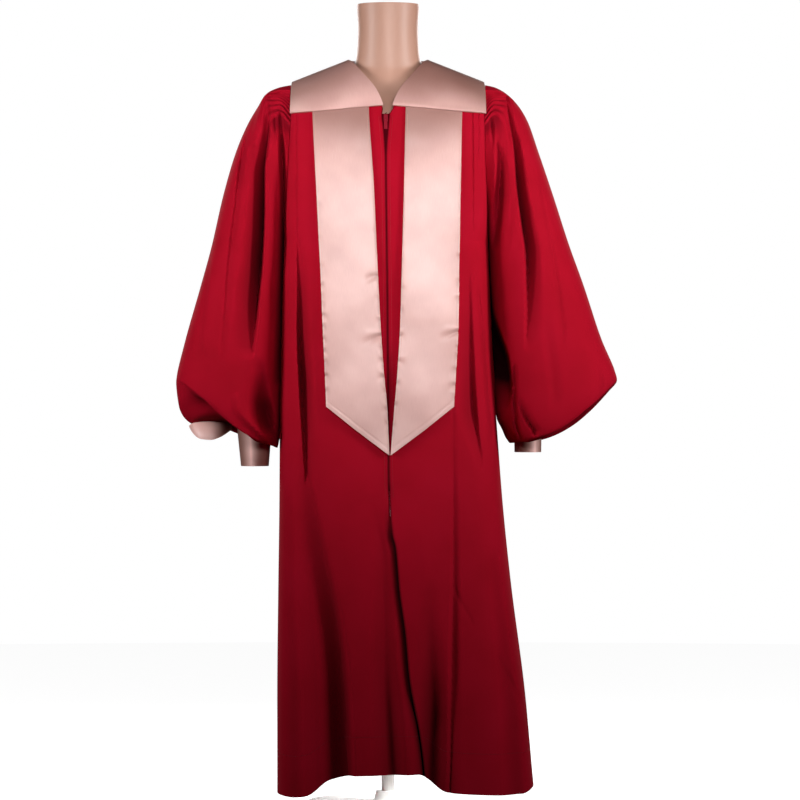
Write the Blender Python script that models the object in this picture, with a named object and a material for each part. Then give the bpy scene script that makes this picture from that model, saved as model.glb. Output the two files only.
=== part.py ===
"""Choir robe on a limbless dress form.

A long red robe with a centre zip, full sleeves gathered into the shoulder seams and into satin
cuffs, a satin collar on the shoulders and two satin stole bands from under it. It hangs on a
torso form with a neck, a pole and a round base.

Millimetres in the tables, metres in the meshes. +Z is up and the front faces -Y. Right and left
are the wearer's own, so the right side is at -X. The origin is the middle of the base's underside.
"""

import math

import bmesh
import bpy
import numpy as np

MM = 0.001

# Cloth walls and the gaps between pieces.
TWILL = 1.5
SATIN = 1.4
SEAM = 0.4
SHOULDER_GAP = 1.3
MOST_MITRE = 2.2

# Heights of the body.
HEM_H = 14.0
LIFT_TOP = 700.0
ARMPIT_H = 1050.0
YOKE_H = 1284.0
SHOULDER_H = 1343.0
NECK_H = 1386.0

# The armhole is an oval seen from the side, narrower at its foot, and the shoulder runs from it up
# to the neck.
ARMHOLE_DEPTH = 92.0
ARMHOLE_LOW_CURVE = 0.85
SHOULDER_X = 181.0
NECK_X = 72.0
NECK_BACK = 67.0
NECK_EASE = 1.5

# The back's flutes: how many, their half heights under the collar and at the hem, and how far from
# the side seams they start, as the sine of the turn round the back.
FLUTES = 14
FLUTE_TOP = 2.5
FLUTE_HEM = 16.0
FLUTE_FADE = 30.0
FLUTE_FROM = 0.12
FLUTE_FULL = 0.5

# Half widths to the wearer's right and left, depths to front and back, and how square the section is.
BODY_COLUMNS = ("h", "right", "left", "front", "back", "front_square", "back_square")
BODY_SECTIONS = (
    (14, 207, 272, 205, 222, 2.4, 2.2),
    (193, 207, 256, 192, 208, 2.5, 2.2),
    (401, 205, 230, 176, 184, 2.6, 2.3),
    (550, 203, 215, 164, 165, 2.8, 2.3),
    (680, 202, 205, 154, 150, 3.2, 2.4),
    (838, 199, 194, 145, 136, 3.8, 2.5),
    (922, 197, 190, 140, 128, 4.4, 2.6),
    (1008, 194, 187, 135, 119, 5.0, 2.9),
    (1138, 187, 183, 127, 108, 5.0, 3.2),
    (1220, 183, 180, 117, 99, 4.0, 3.0),
    (1284, 180, 179, 105, 89, 3.0, 2.8),
    (1343, 181, 181, 60, 60, 2.7, 2.7),
)

# Height of the hem across the front, and round the back.
HEM_COLUMNS = ("x", "z")
FRONT_HEM = (
    (-207, 23),
    (-176, 21),
    (-151, 26),
    (-105, 58),
    (-62, 66),
    (56, 68),
    (105, 37),
    (121, 34),
    (249, 26),
    (262, 30),
    (272, 36),
)
BACK_HEM = ((-207, 23), (-160, 38), (0, 44), (200, 40), (272, 36))

# The line where the fronts meet, half the gap between their lips, and how far each edge crosses it.
CLOSURE_COLUMNS = ("h", "line", "lip", "under", "over")
CLOSURE = (
    (14, 6, 0.4, 82, 62),
    (60, 6, 0.4, 76, 57),
    (109, 6, 0.4, 70, 50),
    (208, 6, 0.4, 58, 33),
    (292, 6, 0.4, 48, 26),
    (380, 6, 0.4, 36, 15),
    (465, 6, 0.4, 8, 8),
    (491, 5.6, 0.4, 0, 0),
    (603, 1.9, 0.4, 0, 0),
    (941, -0.7, 0.4, 0, 0),
    (1194, -3.7, 0.6, 0, 0),
    (1284, -4, 6.5, 0, 0),
)
OVERLAP_TOP = 530.0
OVERLAP_FULL = 480.0
OVERLAP_REACH = 90.0
OVERLAP_LIFT = 4.0

# Half the neck opening at each height of the front, from the point of the V to the shoulder.
NECKLINE_COLUMNS = ("h", "x")
NECKLINE = (
    (1284, 6),
    (1293, 9),
    (1307, 19),
    (1315, 28),
    (1326, 45),
    (1339, 65),
    (1343, 72),
)

BODY_ROWS = (14, 70, 130, 200, 280, 360, 440, 492, 560, 640, 730, 820, 900, 980, 1049.8)
ARMHOLE_ROWS = (1050.2, 1054, 1066, 1095, 1150, 1220, 1284)
COLLAR_ROWS = (1306, 1326, 1338, 1343)
FRONT_COLUMNS = 16
COLUMN_CROWD = 0.92
SIDE_STILL = 0.97

# A fold's line over three points of the front view, its half width and depth at both ends, and its
# lean: above 0 the +X side is the steep one. Depth is below 0 for a valley.
FOLD_COLUMNS = (
    "name", "side", "x_top", "z_top", "x_mid", "z_mid", "x_end", "z_end",
    "wide_top", "wide_end", "deep_top", "deep_end", "lean",
)
BODY_FOLDS = (
    ("right tuck", -1, -168, 1282, -167, 1090, -162, 880, 9, 12, -4, -4, 0.4),
    ("right shade", -1, -160, 980, -152, 820, -150, 690, 18, 26, -3, -8, -0.3),
    ("right valley", -1, -154, 700, -112, 440, -78, 90, 20, 44, -5, -20, 0.5),
    ("right flank", -1, -186, 640, -178, 330, -172, 40, 16, 24, -2, -8, 0.0),
    ("left tuck", -1, 158, 1282, 157, 1190, 156, 1080, 7, 9, -4, -3, -0.3),
    ("left cavity", -1, 178, 1270, 179, 1060, 190, 800, 8, 13, -6, -24, -0.3),
    ("left crease", -1, 119, 760, 116, 420, 111, 30, 9, 14, -3, -8, 0.3),
    ("left side", -1, 156, 860, 160, 724, 174, 640, 12, 18, -6, -6, 0.3),
    ("left flank", -1, 188, 470, 208, 260, 226, 40, 14, 26, -3, -10, 0.2),
    ("centre roll", -1, 30, 420, 32, 260, 24, 40, 26, 40, -1, -6, 0.0),
)

# Where each sleeve section lies: its outer and inner ends in the front view, its reach to front and
# back, and how far the cloth sags between the ends.
SLEEVE_COLUMNS = (
    "out_x", "out_z", "in_x", "in_z", "front", "back", "sag", "square", "pleat", "fan", "tuck",
)
RIGHT_SLEEVE = (
    (202, 1339, 194, 1041, 97, 97, 0, 2.0, 3.0, 0.0, 0),
    (226, 1328, 198, 1024, 102, 102, 0, 2.0, 2.8, 0.1, 4),
    (244, 1301, 200, 1003, 107, 107, 0, 2.1, 2.2, 0.3, 8),
    (262, 1270, 201, 980, 111, 111, 0, 2.1, 1.3, 0.5, 12),
    (284, 1218, 202, 950, 115, 115, 0, 2.2, 0.6, 0.75, 18),
    (307, 1140, 203, 910, 118, 119, 0, 2.2, 0.0, 1.0, 22),
    (330, 1040, 204, 862, 120, 123, 0, 2.3, 0.0, 1.0, 24),
    (352, 960, 205, 812, 120, 126, 2, 2.3, 0.0, 1.0, 24),
    (379, 865, 206, 752, 117, 128, 8, 2.3, 0.0, 1.0, 16),
    (395, 797, 207, 700, 111, 128, 18, 2.3, 0.0, 1.0, 12),
    (396, 784, 207.5, 676, 104, 126, 26, 2.2, 0.0, 1.0, 6),
    (391, 742, 208.5, 667, 86, 118, 8, 2.2, 0.0, 1.0, 0),
    (380, 720, 210.5, 665, 72, 100, -10, 2.1, 0.0, 1.0, 0),
    (362, 709, 212.5, 673, 62, 82, -14, 2.0, 0.0, 1.0, 0),
    (334, 715, 213, 690, 54, 64, -10, 2.0, 0.0, 1.0, 0),
)
LEFT_SLEEVE = (
    (199, 1339, 189, 1041, 97, 97, 0, 2.0, 3.0, 0.0, 0),
    (221, 1327, 192, 1024, 102, 102, 0, 2.0, 2.8, 0.1, 4),
    (242, 1306, 194, 1003, 107, 107, 0, 2.1, 2.2, 0.3, 8),
    (260, 1277, 195, 980, 111, 111, 0, 2.1, 1.3, 0.5, 12),
    (282, 1215, 196, 950, 115, 115, 0, 2.2, 0.6, 0.75, 20),
    (308, 1138, 198, 908, 118, 119, 0, 2.2, 0.0, 1.0, 24),
    (338, 1045, 200, 862, 120, 123, 0, 2.3, 0.0, 1.0, 26),
    (365, 970, 202, 816, 120, 126, 4, 2.3, 0.0, 1.0, 26),
    (399, 868, 206, 765, 117, 128, 16, 2.3, 0.0, 1.0, 18),
    (424, 808, 209, 722, 112, 128, 36, 2.3, 0.0, 1.0, 12),
    (428, 790, 213, 700, 104, 124, 52, 2.2, 0.0, 1.0, 6),
    (414, 772, 220, 684, 86, 112, 40, 2.2, 0.0, 1.0, 0),
    (384, 748, 228, 674, 68, 92, 16, 2.1, 0.0, 1.0, 0),
    (338, 724, 232.5, 682, 55, 68, 2, 2.0, 0.0, 1.0, 0),
)
TUCK_TURN = 214.0
TUCK_WIDE = 14.0
SLEEVE_FOLDS = (
    ("right valley", -1, -224, 1306, -234, 1190, -241, 1000, 8, 22, -4, -11, 0.3),
    ("right dent", -1, -238, 1296, -247, 1230, -252, 1190, 8, 12, -4, -8, 0.0),
    ("right inner", -1, -202, 1270, -194, 1130, -200, 1000, 8, 16, -5, -9, 0.2),
    ("right outer", -1, -266, 1232, -288, 1040, -306, 840, 12, 20, -3, -4, 0.2),
    ("right roll", -1, -238, 800, -236, 745, -240, 705, 20, 26, -6, -22, 0.4),
    ("right back", 1, -222, 1306, -240, 1160, -262, 900, 10, 24, -4, -12, 0.2),
    ("right back outer", 1, -262, 1250, -300, 1040, -322, 850, 12, 24, -3, -10, 0.0),
    ("left valley", -1, 219, 1312, 240, 1150, 257, 960, 8, 22, -4, -12, -0.3),
    ("left inner", -1, 198, 1270, 207, 1176, 212, 1090, 8, 16, -5, -8, 0.0),
    ("left crease", -1, 226, 850, 233, 770, 236, 700, 8, 14, -4, -12, -0.3),
    ("left outer", -1, 276, 1190, 306, 1020, 330, 880, 12, 20, -2, -4, 0.2),
    ("left back", 1, 222, 1306, 242, 1150, 268, 900, 10, 24, -4, -12, 0.2),
    ("left back outer", 1, 264, 1250, 306, 1040, 338, 850, 12, 24, -3, -10, 0.0),
)
FOLD_FADE = 45.0
OPEN_FOLD_H = 112.0

# The sleeve head: pleats between these angles of the armhole, front and back, measured from its top.
PLEAT_FROM = 25.0
PLEAT_TO = 63.0
PLEATS_A_SIDE = 9
TOP_POINTS = 3
UNDER_POINTS = 11
HEAD_PLEAT = 2.2
CUFF_RINGS = 2

# Cuffs: the middle, the half width and depth at both edges, and the two heights.
CUFF_COLUMNS = ("x", "y", "wide_top", "wide_low", "deep", "z_low", "z_top", "shift")
RIGHT_CUFF = (-249.5, 4.0, 33.5, 26.0, 42.0, 631.0, 714.0, 1.0)
LEFT_CUFF = (261.5, 4.0, 26.0, 25.0, 43.0, 657.0, 716.0, 0.0)
CUFF_POINTS = 22
CUFF_ROWS = 4
CUFF_SEAM = 9.0

# The loose end of the right cuff: its lower edge from outside to inside, and how far it bulges.
CUFF_END_COLUMNS = ("x", "z", "y")
CUFF_END = (
    (-372, 704, 2),
    (-364, 692, -14),
    (-350, 682, -27),
    (-330, 680, -32),
    (-313, 685, -26),
    (-300, 693, -14),
    (-291, 700, 0),
)
CUFF_END_TOP = 706.5
CUFF_END_ROWS = 4

# Stole bands: both edges at each height, and how far they stand off the fronts.
STOLE_COLUMNS = ("z", "right_in", "right_out", "left_in", "left_out", "off")
STOLES = (
    (640, 3.0, -108, 4.6, 115, 9.0),
    (743, -1.5, -111.5, 12.4, 119.5, 8.0),
    (795, -6.5, -114, 17, 123, 7.5),
    (885, -13, -118.5, 22.4, 128, 6.5),
    (1020, -20, -125, 26.5, 131, 5.5),
    (1150, -26, -132, 30, 134, 4.0),
    (1284, -35, -139, 33, 137, 2.4),
    (1310, -36, -140, 34, 138, 2.4),
)
STOLE_TOP = 1296.0
STOLE_CORNER = 742.0
STOLE_TIP = 648.0
STOLE_ROWS = 15
STOLE_CROSS = 6

# Collar: its lower edges, and how far it stands off the panels, over the stole bands.
COLLAR_LOW_EDGE = 1284.0
COLLAR_LOW_MIDDLE = 1292.0
COLLAR_BACK_LOW = 1262.0
COLLAR_OUT = 177.5
COLLAR_OFF = 5.2
COLLAR_ACROSS = 8
COLLAR_NAPE = 6

# Zip: tape width and thickness, its end, and the slider with its pull.
TAPE_WIDE = 12.0
TAPE_THICK = 0.8
TAPE_HALF_GAP = 0.3
TAPE_MIDDLE = 4.0
TAPE_END = 486.0
SLIDER_H = 1276.0
SLIDER_WIDE = 8.0
SLIDER_TALL = 12.0
SLIDER_DEEP = 3.6
BRIDGE_WIDE = 2.6
BRIDGE_TALL = 8.0
BRIDGE_DEEP = 3.4
BRIDGE_THICK = 1.0
PULL_WIDE = 6.4
PULL_TALL = 23.0
PULL_THICK = 1.2
PULL_BAR = 1.2
PULL_WINDOW = (4.0, 6.0)

# Dress form: height, half width and depths of each section, and how square it is.
FORM_COLUMNS = ("z", "wide", "front", "back", "square")
FORM_SECTIONS = (
    (764, 122, 82, 86, 2.2),
    (770, 146, 98, 102, 2.2),
    (790, 156, 104, 110, 2.2),
    (860, 152, 100, 108, 2.2),
    (950, 134, 90, 92, 2.2),
    (1050, 147, 100, 95, 2.2),
    (1150, 158, 109, 94, 2.3),
    (1230, 164, 100, 84, 2.4),
    (1290, 167, 82, 72, 2.5),
    (1325, 164, 66, 62, 2.4),
    (1345, 150, 60, 58, 1.7),
    (1358, 122, 57, 57, 1.5),
    (1368, 90, 55, 57, 1.5),
    (1377, 69, 54, 57, 1.7),
    (1388, 60.5, 54, 57, 1.9),
    (1410, 57.5, 54, 57, 2.0),
    (1450, 56, 54, 57, 2.0),
    (1488, 58, 55, 57, 2.0),
    (1494, 57.5, 54.5, 56.5, 2.0),
)
FORM_POINTS = 24
POLE_RADIUS = 12.0
BASE_RADIUS = 150.0
BASE_THICK = 7.0
BASE_ROUND = 2.0
HUB_RADIUS = 26.0
HUB_TOP = 24.0

# Colours are linear; each row is a colour, a roughness and a metallic value.
FINISHES = {
    "red_twill": ((0.32, 0.006, 0.02), 0.75, 0.0),
    "satin": ((0.70, 0.42, 0.35), 0.35, 0.0),
    "zip_tape": ((0.22, 0.004, 0.012), 0.8, 0.0),
    "zip_metal": ((0.30, 0.02, 0.03), 0.4, 0.6),
    "form_skin": ((0.74, 0.46, 0.34), 0.3, 0.0),
    "stand_white": ((0.80, 0.80, 0.79), 0.35, 0.0),
}


def clear_scene():
    """Removes every object of the scene."""
    for thing in list(bpy.data.objects):
        bpy.data.objects.remove(thing, do_unlink=True)


def finish(name):
    """The material of one finish."""
    if name in bpy.data.materials:
        return bpy.data.materials[name]
    colour, roughness, metallic = FINISHES[name]
    material = bpy.data.materials.new(name)
    material.use_nodes = True
    shader = material.node_tree.nodes["Principled BSDF"]
    shader.inputs["Base Color"].default_value = (*colour, 1.0)
    shader.inputs["Roughness"].default_value = roughness
    shader.inputs["Metallic"].default_value = metallic
    return material


def column(names, rows, name):
    """One named column of a table."""
    return np.array([row[names.index(name)] for row in rows], float)


def smooth_curve(xs, ys, at):
    """A smooth curve through the points, with no overshoot between them."""
    at = np.clip(at, xs[0], xs[-1])
    steps = np.diff(xs)
    slopes = np.diff(ys) / steps
    tangents = np.zeros_like(ys)
    tangents[0], tangents[-1] = slopes[0], slopes[-1]
    same = slopes[:-1] * slopes[1:] > 0
    before, after = slopes[:-1][same], slopes[1:][same]
    tangents[1:-1][same] = 2 * before * after / (before + after)
    place = np.clip(np.searchsorted(xs, at, side="right") - 1, 0, len(xs) - 2)
    step = steps[place]
    t = (at - xs[place]) / step
    return (
        (2 * t**3 - 3 * t**2 + 1) * ys[place]
        + (t**3 - 2 * t**2 + t) * step * tangents[place]
        + (3 * t**2 - 2 * t**3) * ys[place + 1]
        + (t**3 - t**2) * step * tangents[place + 1]
    )


def read(names, rows, name, at):
    """A named column read at a value of the table's first column."""
    return smooth_curve(column(names, rows, names[0]), column(names, rows, name), np.asarray(at, float))


def ease(value, start, end):
    """0 before start and 1 after end, turning smoothly between them."""
    t = np.clip((np.asarray(value, float) - start) / (end - start), 0, 1)
    return t * t * (3 - 2 * t)


def armhole_depth(h):
    """How far the armhole reaches to front and back at a height."""
    middle = (ARMPIT_H + SHOULDER_H) / 2
    half = (SHOULDER_H - ARMPIT_H) / 2
    rise = np.clip((np.asarray(h, float) - middle) / half, -1, 1)
    return ARMHOLE_DEPTH * (1 - rise**2) ** np.where(rise < 0, ARMHOLE_LOW_CURVE, 0.5)


def side_edge(h, hand):
    """Half width of the body at a height, to the right for -1 and the left for 1."""
    return read(BODY_COLUMNS, BODY_SECTIONS, "right" if hand < 0 else "left", h)


def ridge(x, side, gap):
    """Depth and height of the shoulder line and the back neckline above x."""
    out = np.clip((SHOULDER_X - np.abs(x)) / (SHOULDER_X - NECK_X), 0, 1)
    height = SHOULDER_H + (NECK_H - SHOULDER_H) * out
    if side < 0:
        return np.full_like(height, gap), height
    neck = NECK_BACK * np.sqrt(np.clip(1 - (x / NECK_X) ** 2, 0, 1))
    return np.maximum(neck, gap), height


def body_point(x, h, side, seam=SEAM / 2, gap=SHOULDER_GAP):
    """The robe's smooth surface at x and a height, on the front for side -1 and the back for 1."""
    x, h = np.broadcast_arrays(np.asarray(x, float), np.asarray(h, float))
    low = np.minimum(h, YOKE_H)
    edge = np.where(x < 0, side_edge(low, -1), side_edge(low, 1))
    deep = read(BODY_COLUMNS, BODY_SECTIONS, "front" if side < 0 else "back", low)
    square = read(BODY_COLUMNS, BODY_SECTIONS, "front_square" if side < 0 else "back_square", low)
    edge_y = np.maximum(armhole_depth(low), seam)
    share = np.clip(np.abs(x) / edge, 0, 1)
    y = edge_y + (deep - edge_y) * (1 - share**square) ** (1 / square)
    hem = read(HEM_COLUMNS, FRONT_HEM if side < 0 else BACK_HEM, "z", x)
    z = low + (hem - HEM_H) * np.clip((LIFT_TOP - low) / (LIFT_TOP - HEM_H), 0, 1)
    top_y, top_z = ridge(x, side, gap)
    turn = armhole_depth(h) / armhole_depth(YOKE_H)
    climb = (h - YOKE_H) / (SHOULDER_H - YOKE_H)
    over = h > YOKE_H
    y = np.where(over, top_y + (y - top_y) * turn, y)
    z = np.where(over, YOKE_H + (top_z - YOKE_H) * climb, z)
    return np.stack([x, side * y, z], axis=-1)


def grid_normals(grid, closed=False):
    """Unit normals of a grid of points."""
    if closed:
        wrapped = np.concatenate([grid[:, -1:], grid, grid[:, :1]], axis=1)
        along = (wrapped[:, 2:] - wrapped[:, :-2]) / 2
    else:
        along = np.gradient(grid, axis=1)
    across = np.gradient(grid, axis=0)
    normals = np.cross(along, across)
    return normals / np.maximum(np.linalg.norm(normals, axis=-1, keepdims=True), 1e-9)


def fold_height(points, folds, side_of):
    """How far the folds move each point along its normal: below 0 is into the cloth."""
    x, z = points[..., 0], points[..., 2]
    height = np.zeros_like(x)
    for fold in folds:
        row = dict(zip(FOLD_COLUMNS, fold))
        levels = np.array([row["z_end"], row["z_mid"], row["z_top"]], float)
        line = np.array([row["x_end"], row["x_mid"], row["x_top"]], float)
        middle = smooth_curve(levels, line, z)
        down = np.clip((row["z_top"] - z) / (row["z_top"] - row["z_end"]), 0, 1)
        wide = row["wide_top"] + (row["wide_end"] - row["wide_top"]) * down
        deep = row["deep_top"] + (row["deep_end"] - row["deep_top"]) * down
        away = x - middle
        reach = wide * np.where(away > 0, 1 - row["lean"], 1 + row["lean"])
        across = 1 - ease(np.abs(away), 0, reach)
        top_fade = 1 - ease(z, row["z_top"], row["z_top"] + FOLD_FADE)
        open_end = row["z_end"] < OPEN_FOLD_H
        end_fade = 1.0 if open_end else ease(z, row["z_end"] - FOLD_FADE, row["z_end"])
        height += np.where(side_of == row["side"], deep * across * top_fade * end_fade, 0)
    return height


def weld(grids):
    """Joins grids, each with a flag for closed rings, into points and the faces between them."""
    keys, points, faces = {}, [], []
    for grid, closed in grids:
        rows, columns = grid.shape[:2]
        index = np.empty((rows, columns), int)
        for r in range(rows):
            for c in range(columns):
                key = tuple(np.round(grid[r, c], 3))
                if key not in keys:
                    keys[key] = len(points)
                    points.append(grid[r, c])
                index[r, c] = keys[key]
        for r in range(rows - 1):
            for c in range(columns if closed else columns - 1):
                d = (c + 1) % columns
                corners = (index[r, c], index[r, d], index[r + 1, d], index[r + 1, c])
                faces.append(list(dict.fromkeys(int(corner) for corner in corners)))
    return np.array(points), [face for face in faces if len(face) > 2]


def point_normals(points, faces):
    """Unit normals at the points, and how far the faces round each lean away from its normal."""
    units = []
    for face in faces:
        p = points[face]
        normal = np.cross(p[2] - p[0], p[-1] - p[1])
        units.append(normal / max(np.linalg.norm(normal), 1e-9))
    total = np.zeros_like(points)
    for face, unit in zip(faces, units):
        total[face] += unit
    normals = total / np.maximum(np.linalg.norm(total, axis=1, keepdims=True), 1e-9)
    lean = np.zeros(len(points))
    count = np.zeros(len(points))
    for face, unit in zip(faces, units):
        lean[face] += normals[face] @ unit
        count[face] += 1
    return normals, lean / np.maximum(count, 1)


def wall(name, grids, core, thickness, material, off=0.0):
    """A closed cloth wall. Its outer face is the grids moved off away from core, its inner face
    lies a thickness further in, and its edges are closed."""
    points, faces = weld(grids)
    normals, lean = point_normals(points, faces)
    if np.sum(normals * (points - np.array(core, float))) < 0:
        faces = [face[::-1] for face in faces]
        normals = -normals
    stretch = np.minimum(1 / np.maximum(lean, 0.1), MOST_MITRE)[:, None]
    outer = points + normals * off * stretch
    inner = points + normals * (off - thickness) * stretch
    count = len(points)
    edges = {(face[i - 1], face[i]) for face in faces for i in range(len(face))}
    rims = [(b, a, a + count, b + count) for a, b in edges if (b, a) not in edges]
    lining = [[corner + count for corner in face[::-1]] for face in faces]
    return solid(name, np.concatenate([outer, inner]), faces + lining + sorted(rims), material)


def solid(name, points, faces, material):
    """An object from points in millimetres and faces, shaded smooth but at its edges."""
    mesh = bpy.data.meshes.new(name)
    mesh.from_pydata((np.asarray(points) * MM).tolist(), [], [list(face) for face in faces])
    shape = bmesh.new()
    shape.from_mesh(mesh)
    bmesh.ops.triangulate(shape, faces=shape.faces[:], quad_method="BEAUTY")
    if shape.calc_volume(signed=True) < 0:
        bmesh.ops.reverse_faces(shape, faces=shape.faces[:])
    shape.to_mesh(mesh)
    shape.free()
    mesh.materials.append(finish(material))
    mesh.shade_smooth()
    mesh.set_sharp_from_angle(angle=math.radians(50))
    thing = bpy.data.objects.new(name, mesh)
    bpy.context.scene.collection.objects.link(thing)
    return thing


def closed_rings(name, rings, material):
    """A solid through closed rings, with flat ends."""
    count, points = rings.shape[:2]
    faces = []
    for r in range(count - 1):
        for c in range(points):
            d = (c + 1) % points
            faces.append((r * points + c, r * points + d, (r + 1) * points + d, (r + 1) * points + c))
    faces.append(tuple(range(points))[::-1])
    faces.append(tuple(range((count - 1) * points, count * points)))
    return solid(name, rings.reshape(-1, 3), faces, material)


def box_faces(low, high):
    """Points and faces of a box."""
    corners = [(x, y, z) for z in (low[2], high[2]) for y in (low[1], high[1]) for x in (low[0], high[0])]
    faces = ((0, 2, 3, 1), (4, 5, 7, 6), (0, 1, 5, 4), (2, 6, 7, 3), (0, 4, 6, 2), (1, 3, 7, 5))
    return np.array(corners, float), faces


def box(name, low, high, material):
    """A box between two corners, in millimetres."""
    points, faces = box_faces(low, high)
    return solid(name, points, faces, material)


def combine(thing, other, operation):
    """Applies a Boolean with another object, and keeps that object as a hidden helper."""
    cut = thing.modifiers.new(other.name, "BOOLEAN")
    cut.operation = operation
    cut.object = other
    other.hide_render = True
    other.display_type = "WIRE"


def closure(h, name):
    """One column of the closure's table."""
    return read(CLOSURE_COLUMNS, CLOSURE, name, h)


def front_inner(h, hand):
    """Inner edge of a front at a height: the right one passes under the left one below the zip."""
    line = closure(h, "line")
    lip = closure(h, "lip")
    crossing = closure(h, "under" if hand < 0 else "over")
    neck = np.where(h > YOKE_H, read(NECKLINE_COLUMNS, NECKLINE, "x", h) + NECK_EASE, lip)
    middle = np.where(h > YOKE_H, 0, line)
    return middle + crossing + hand * neck


def front(hand):
    """A front panel, from its edge at the closure to the side seam and the armhole."""
    rows = np.array(BODY_ROWS + ARMHOLE_ROWS + COLLAR_ROWS, float)[:, None]
    share = np.sin(np.linspace(0, math.pi / 2, FRONT_COLUMNS))[None, :] ** COLUMN_CROWD
    inner = front_inner(rows, hand)
    x = inner + (hand * side_edge(rows, hand) - inner) * share
    grid = body_point(x, rows, -1)
    lift = fold_height(grid, BODY_FOLDS, -1) * (1 - ease(share, SIDE_STILL, 1.0))
    if hand > 0:
        near = 1 - ease(x - inner, OVERLAP_REACH / 2, OVERLAP_REACH)
        lift = lift + OVERLAP_LIFT * near * ease(-rows, -OVERLAP_TOP, -OVERLAP_FULL)
    normals = grid_normals(grid)
    grid = grid + normals * (lift * np.where(normals[..., 1] > 0, -1, 1))[..., None]
    name = "front_right" if hand < 0 else "front_left"
    return wall(name, [(grid, False)], (0, 0, 700), TWILL, "red_twill")


def back():
    """The back panel, fluted from under the collar to the hem."""
    rows = np.array(BODY_ROWS + ARMHOLE_ROWS + COLLAR_ROWS, float)[:, None]
    turns = np.linspace(0, math.pi, 2 * FLUTES + 3)[None, :]
    swing = np.cos(turns)
    edge = np.where(swing < 0, side_edge(rows, -1), side_edge(rows, 1))
    grid = body_point(swing * edge, rows, 1)
    flute = np.where(np.arange(turns.size) % 2 == 0, 1.0, -1.0)[None, :]
    flute = flute * ease(np.sin(turns), FLUTE_FROM, FLUTE_FULL)
    tall = FLUTE_TOP + (FLUTE_HEM - FLUTE_TOP) * ease(-rows, -YOKE_H, -HEM_H)
    tall = tall - FLUTE_TOP * ease(rows, YOKE_H - FLUTE_FADE, YOKE_H + FLUTE_FADE)
    normals = grid_normals(grid)
    grid = grid + normals * (tall * flute * np.where(normals[..., 1] < 0, -1, 1))[..., None]
    return wall("back", [(grid, False)], (0, 0, 700), TWILL, "red_twill")


def sleeve_angles():
    """Angles round the sleeve head: close together where it is pleated, and which are ridges."""
    pleats = np.linspace(PLEAT_FROM, PLEAT_TO, 2 * PLEATS_A_SIDE)
    top = np.linspace(-PLEAT_FROM, PLEAT_FROM, TOP_POINTS + 2)[1:-1]
    under = np.linspace(PLEAT_TO, 360 - PLEAT_TO, UNDER_POINTS + 2)[1:-1]
    angles = np.concatenate([top, pleats, under, 360 - pleats[::-1]])
    wave = np.where(np.arange(pleats.size) % 2 == 0, 1.0, -1.0)
    ridges = np.concatenate([np.zeros(top.size), wave, np.zeros(under.size), wave[::-1]])
    return angles, ridges


def cuff_row(cuff, share, grow):
    """Centre, half width, half depth and height of a cuff at a share of its height."""
    row = dict(zip(CUFF_COLUMNS, cuff))
    wide = row["wide_low"] + (row["wide_top"] - row["wide_low"]) * share + grow
    height = row["z_low"] + (row["z_top"] - row["z_low"]) * share
    return row["x"] + row["shift"] * (0.5 - share), row["y"], wide, row["deep"] + grow, height


def section_ring(row, hand, angles):
    """One sleeve section: an oval between its outer and inner ends."""
    c, s = np.cos(angles), np.sin(angles)
    power = 2 / row["square"]
    along = np.sign(c) * np.abs(c) ** power
    across = np.sign(s) * np.abs(s) ** power
    middle_x, middle_z = (row["out_x"] + row["in_x"]) / 2, (row["out_z"] + row["in_z"]) / 2
    half_x, half_z = (row["out_x"] - row["in_x"]) / 2, (row["out_z"] - row["in_z"]) / 2
    reach = np.where(s > 0, row["front"], row["back"])
    turn = np.degrees(angles) % 360
    tuck = row["tuck"] * np.exp(-(((turn - TUCK_TURN) / TUCK_WIDE) ** 2))
    x = hand * (middle_x + half_x * along - tuck)
    z = middle_z + half_z * along - row["sag"] * (1 - along**2)
    return np.stack([x, -across * reach, z], axis=-1)


def sleeve_head(hand, angles):
    """The sleeve's first ring, on the armhole's edge."""
    middle = (ARMPIT_H + SHOULDER_H) / 2
    half = (SHOULDER_H - ARMPIT_H) / 2
    z = middle + half * np.cos(angles)
    x = hand * (side_edge(z, hand) + 2 * SEAM)
    return np.stack([x, -np.sign(np.sin(angles)) * armhole_depth(z), z], axis=-1)


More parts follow.
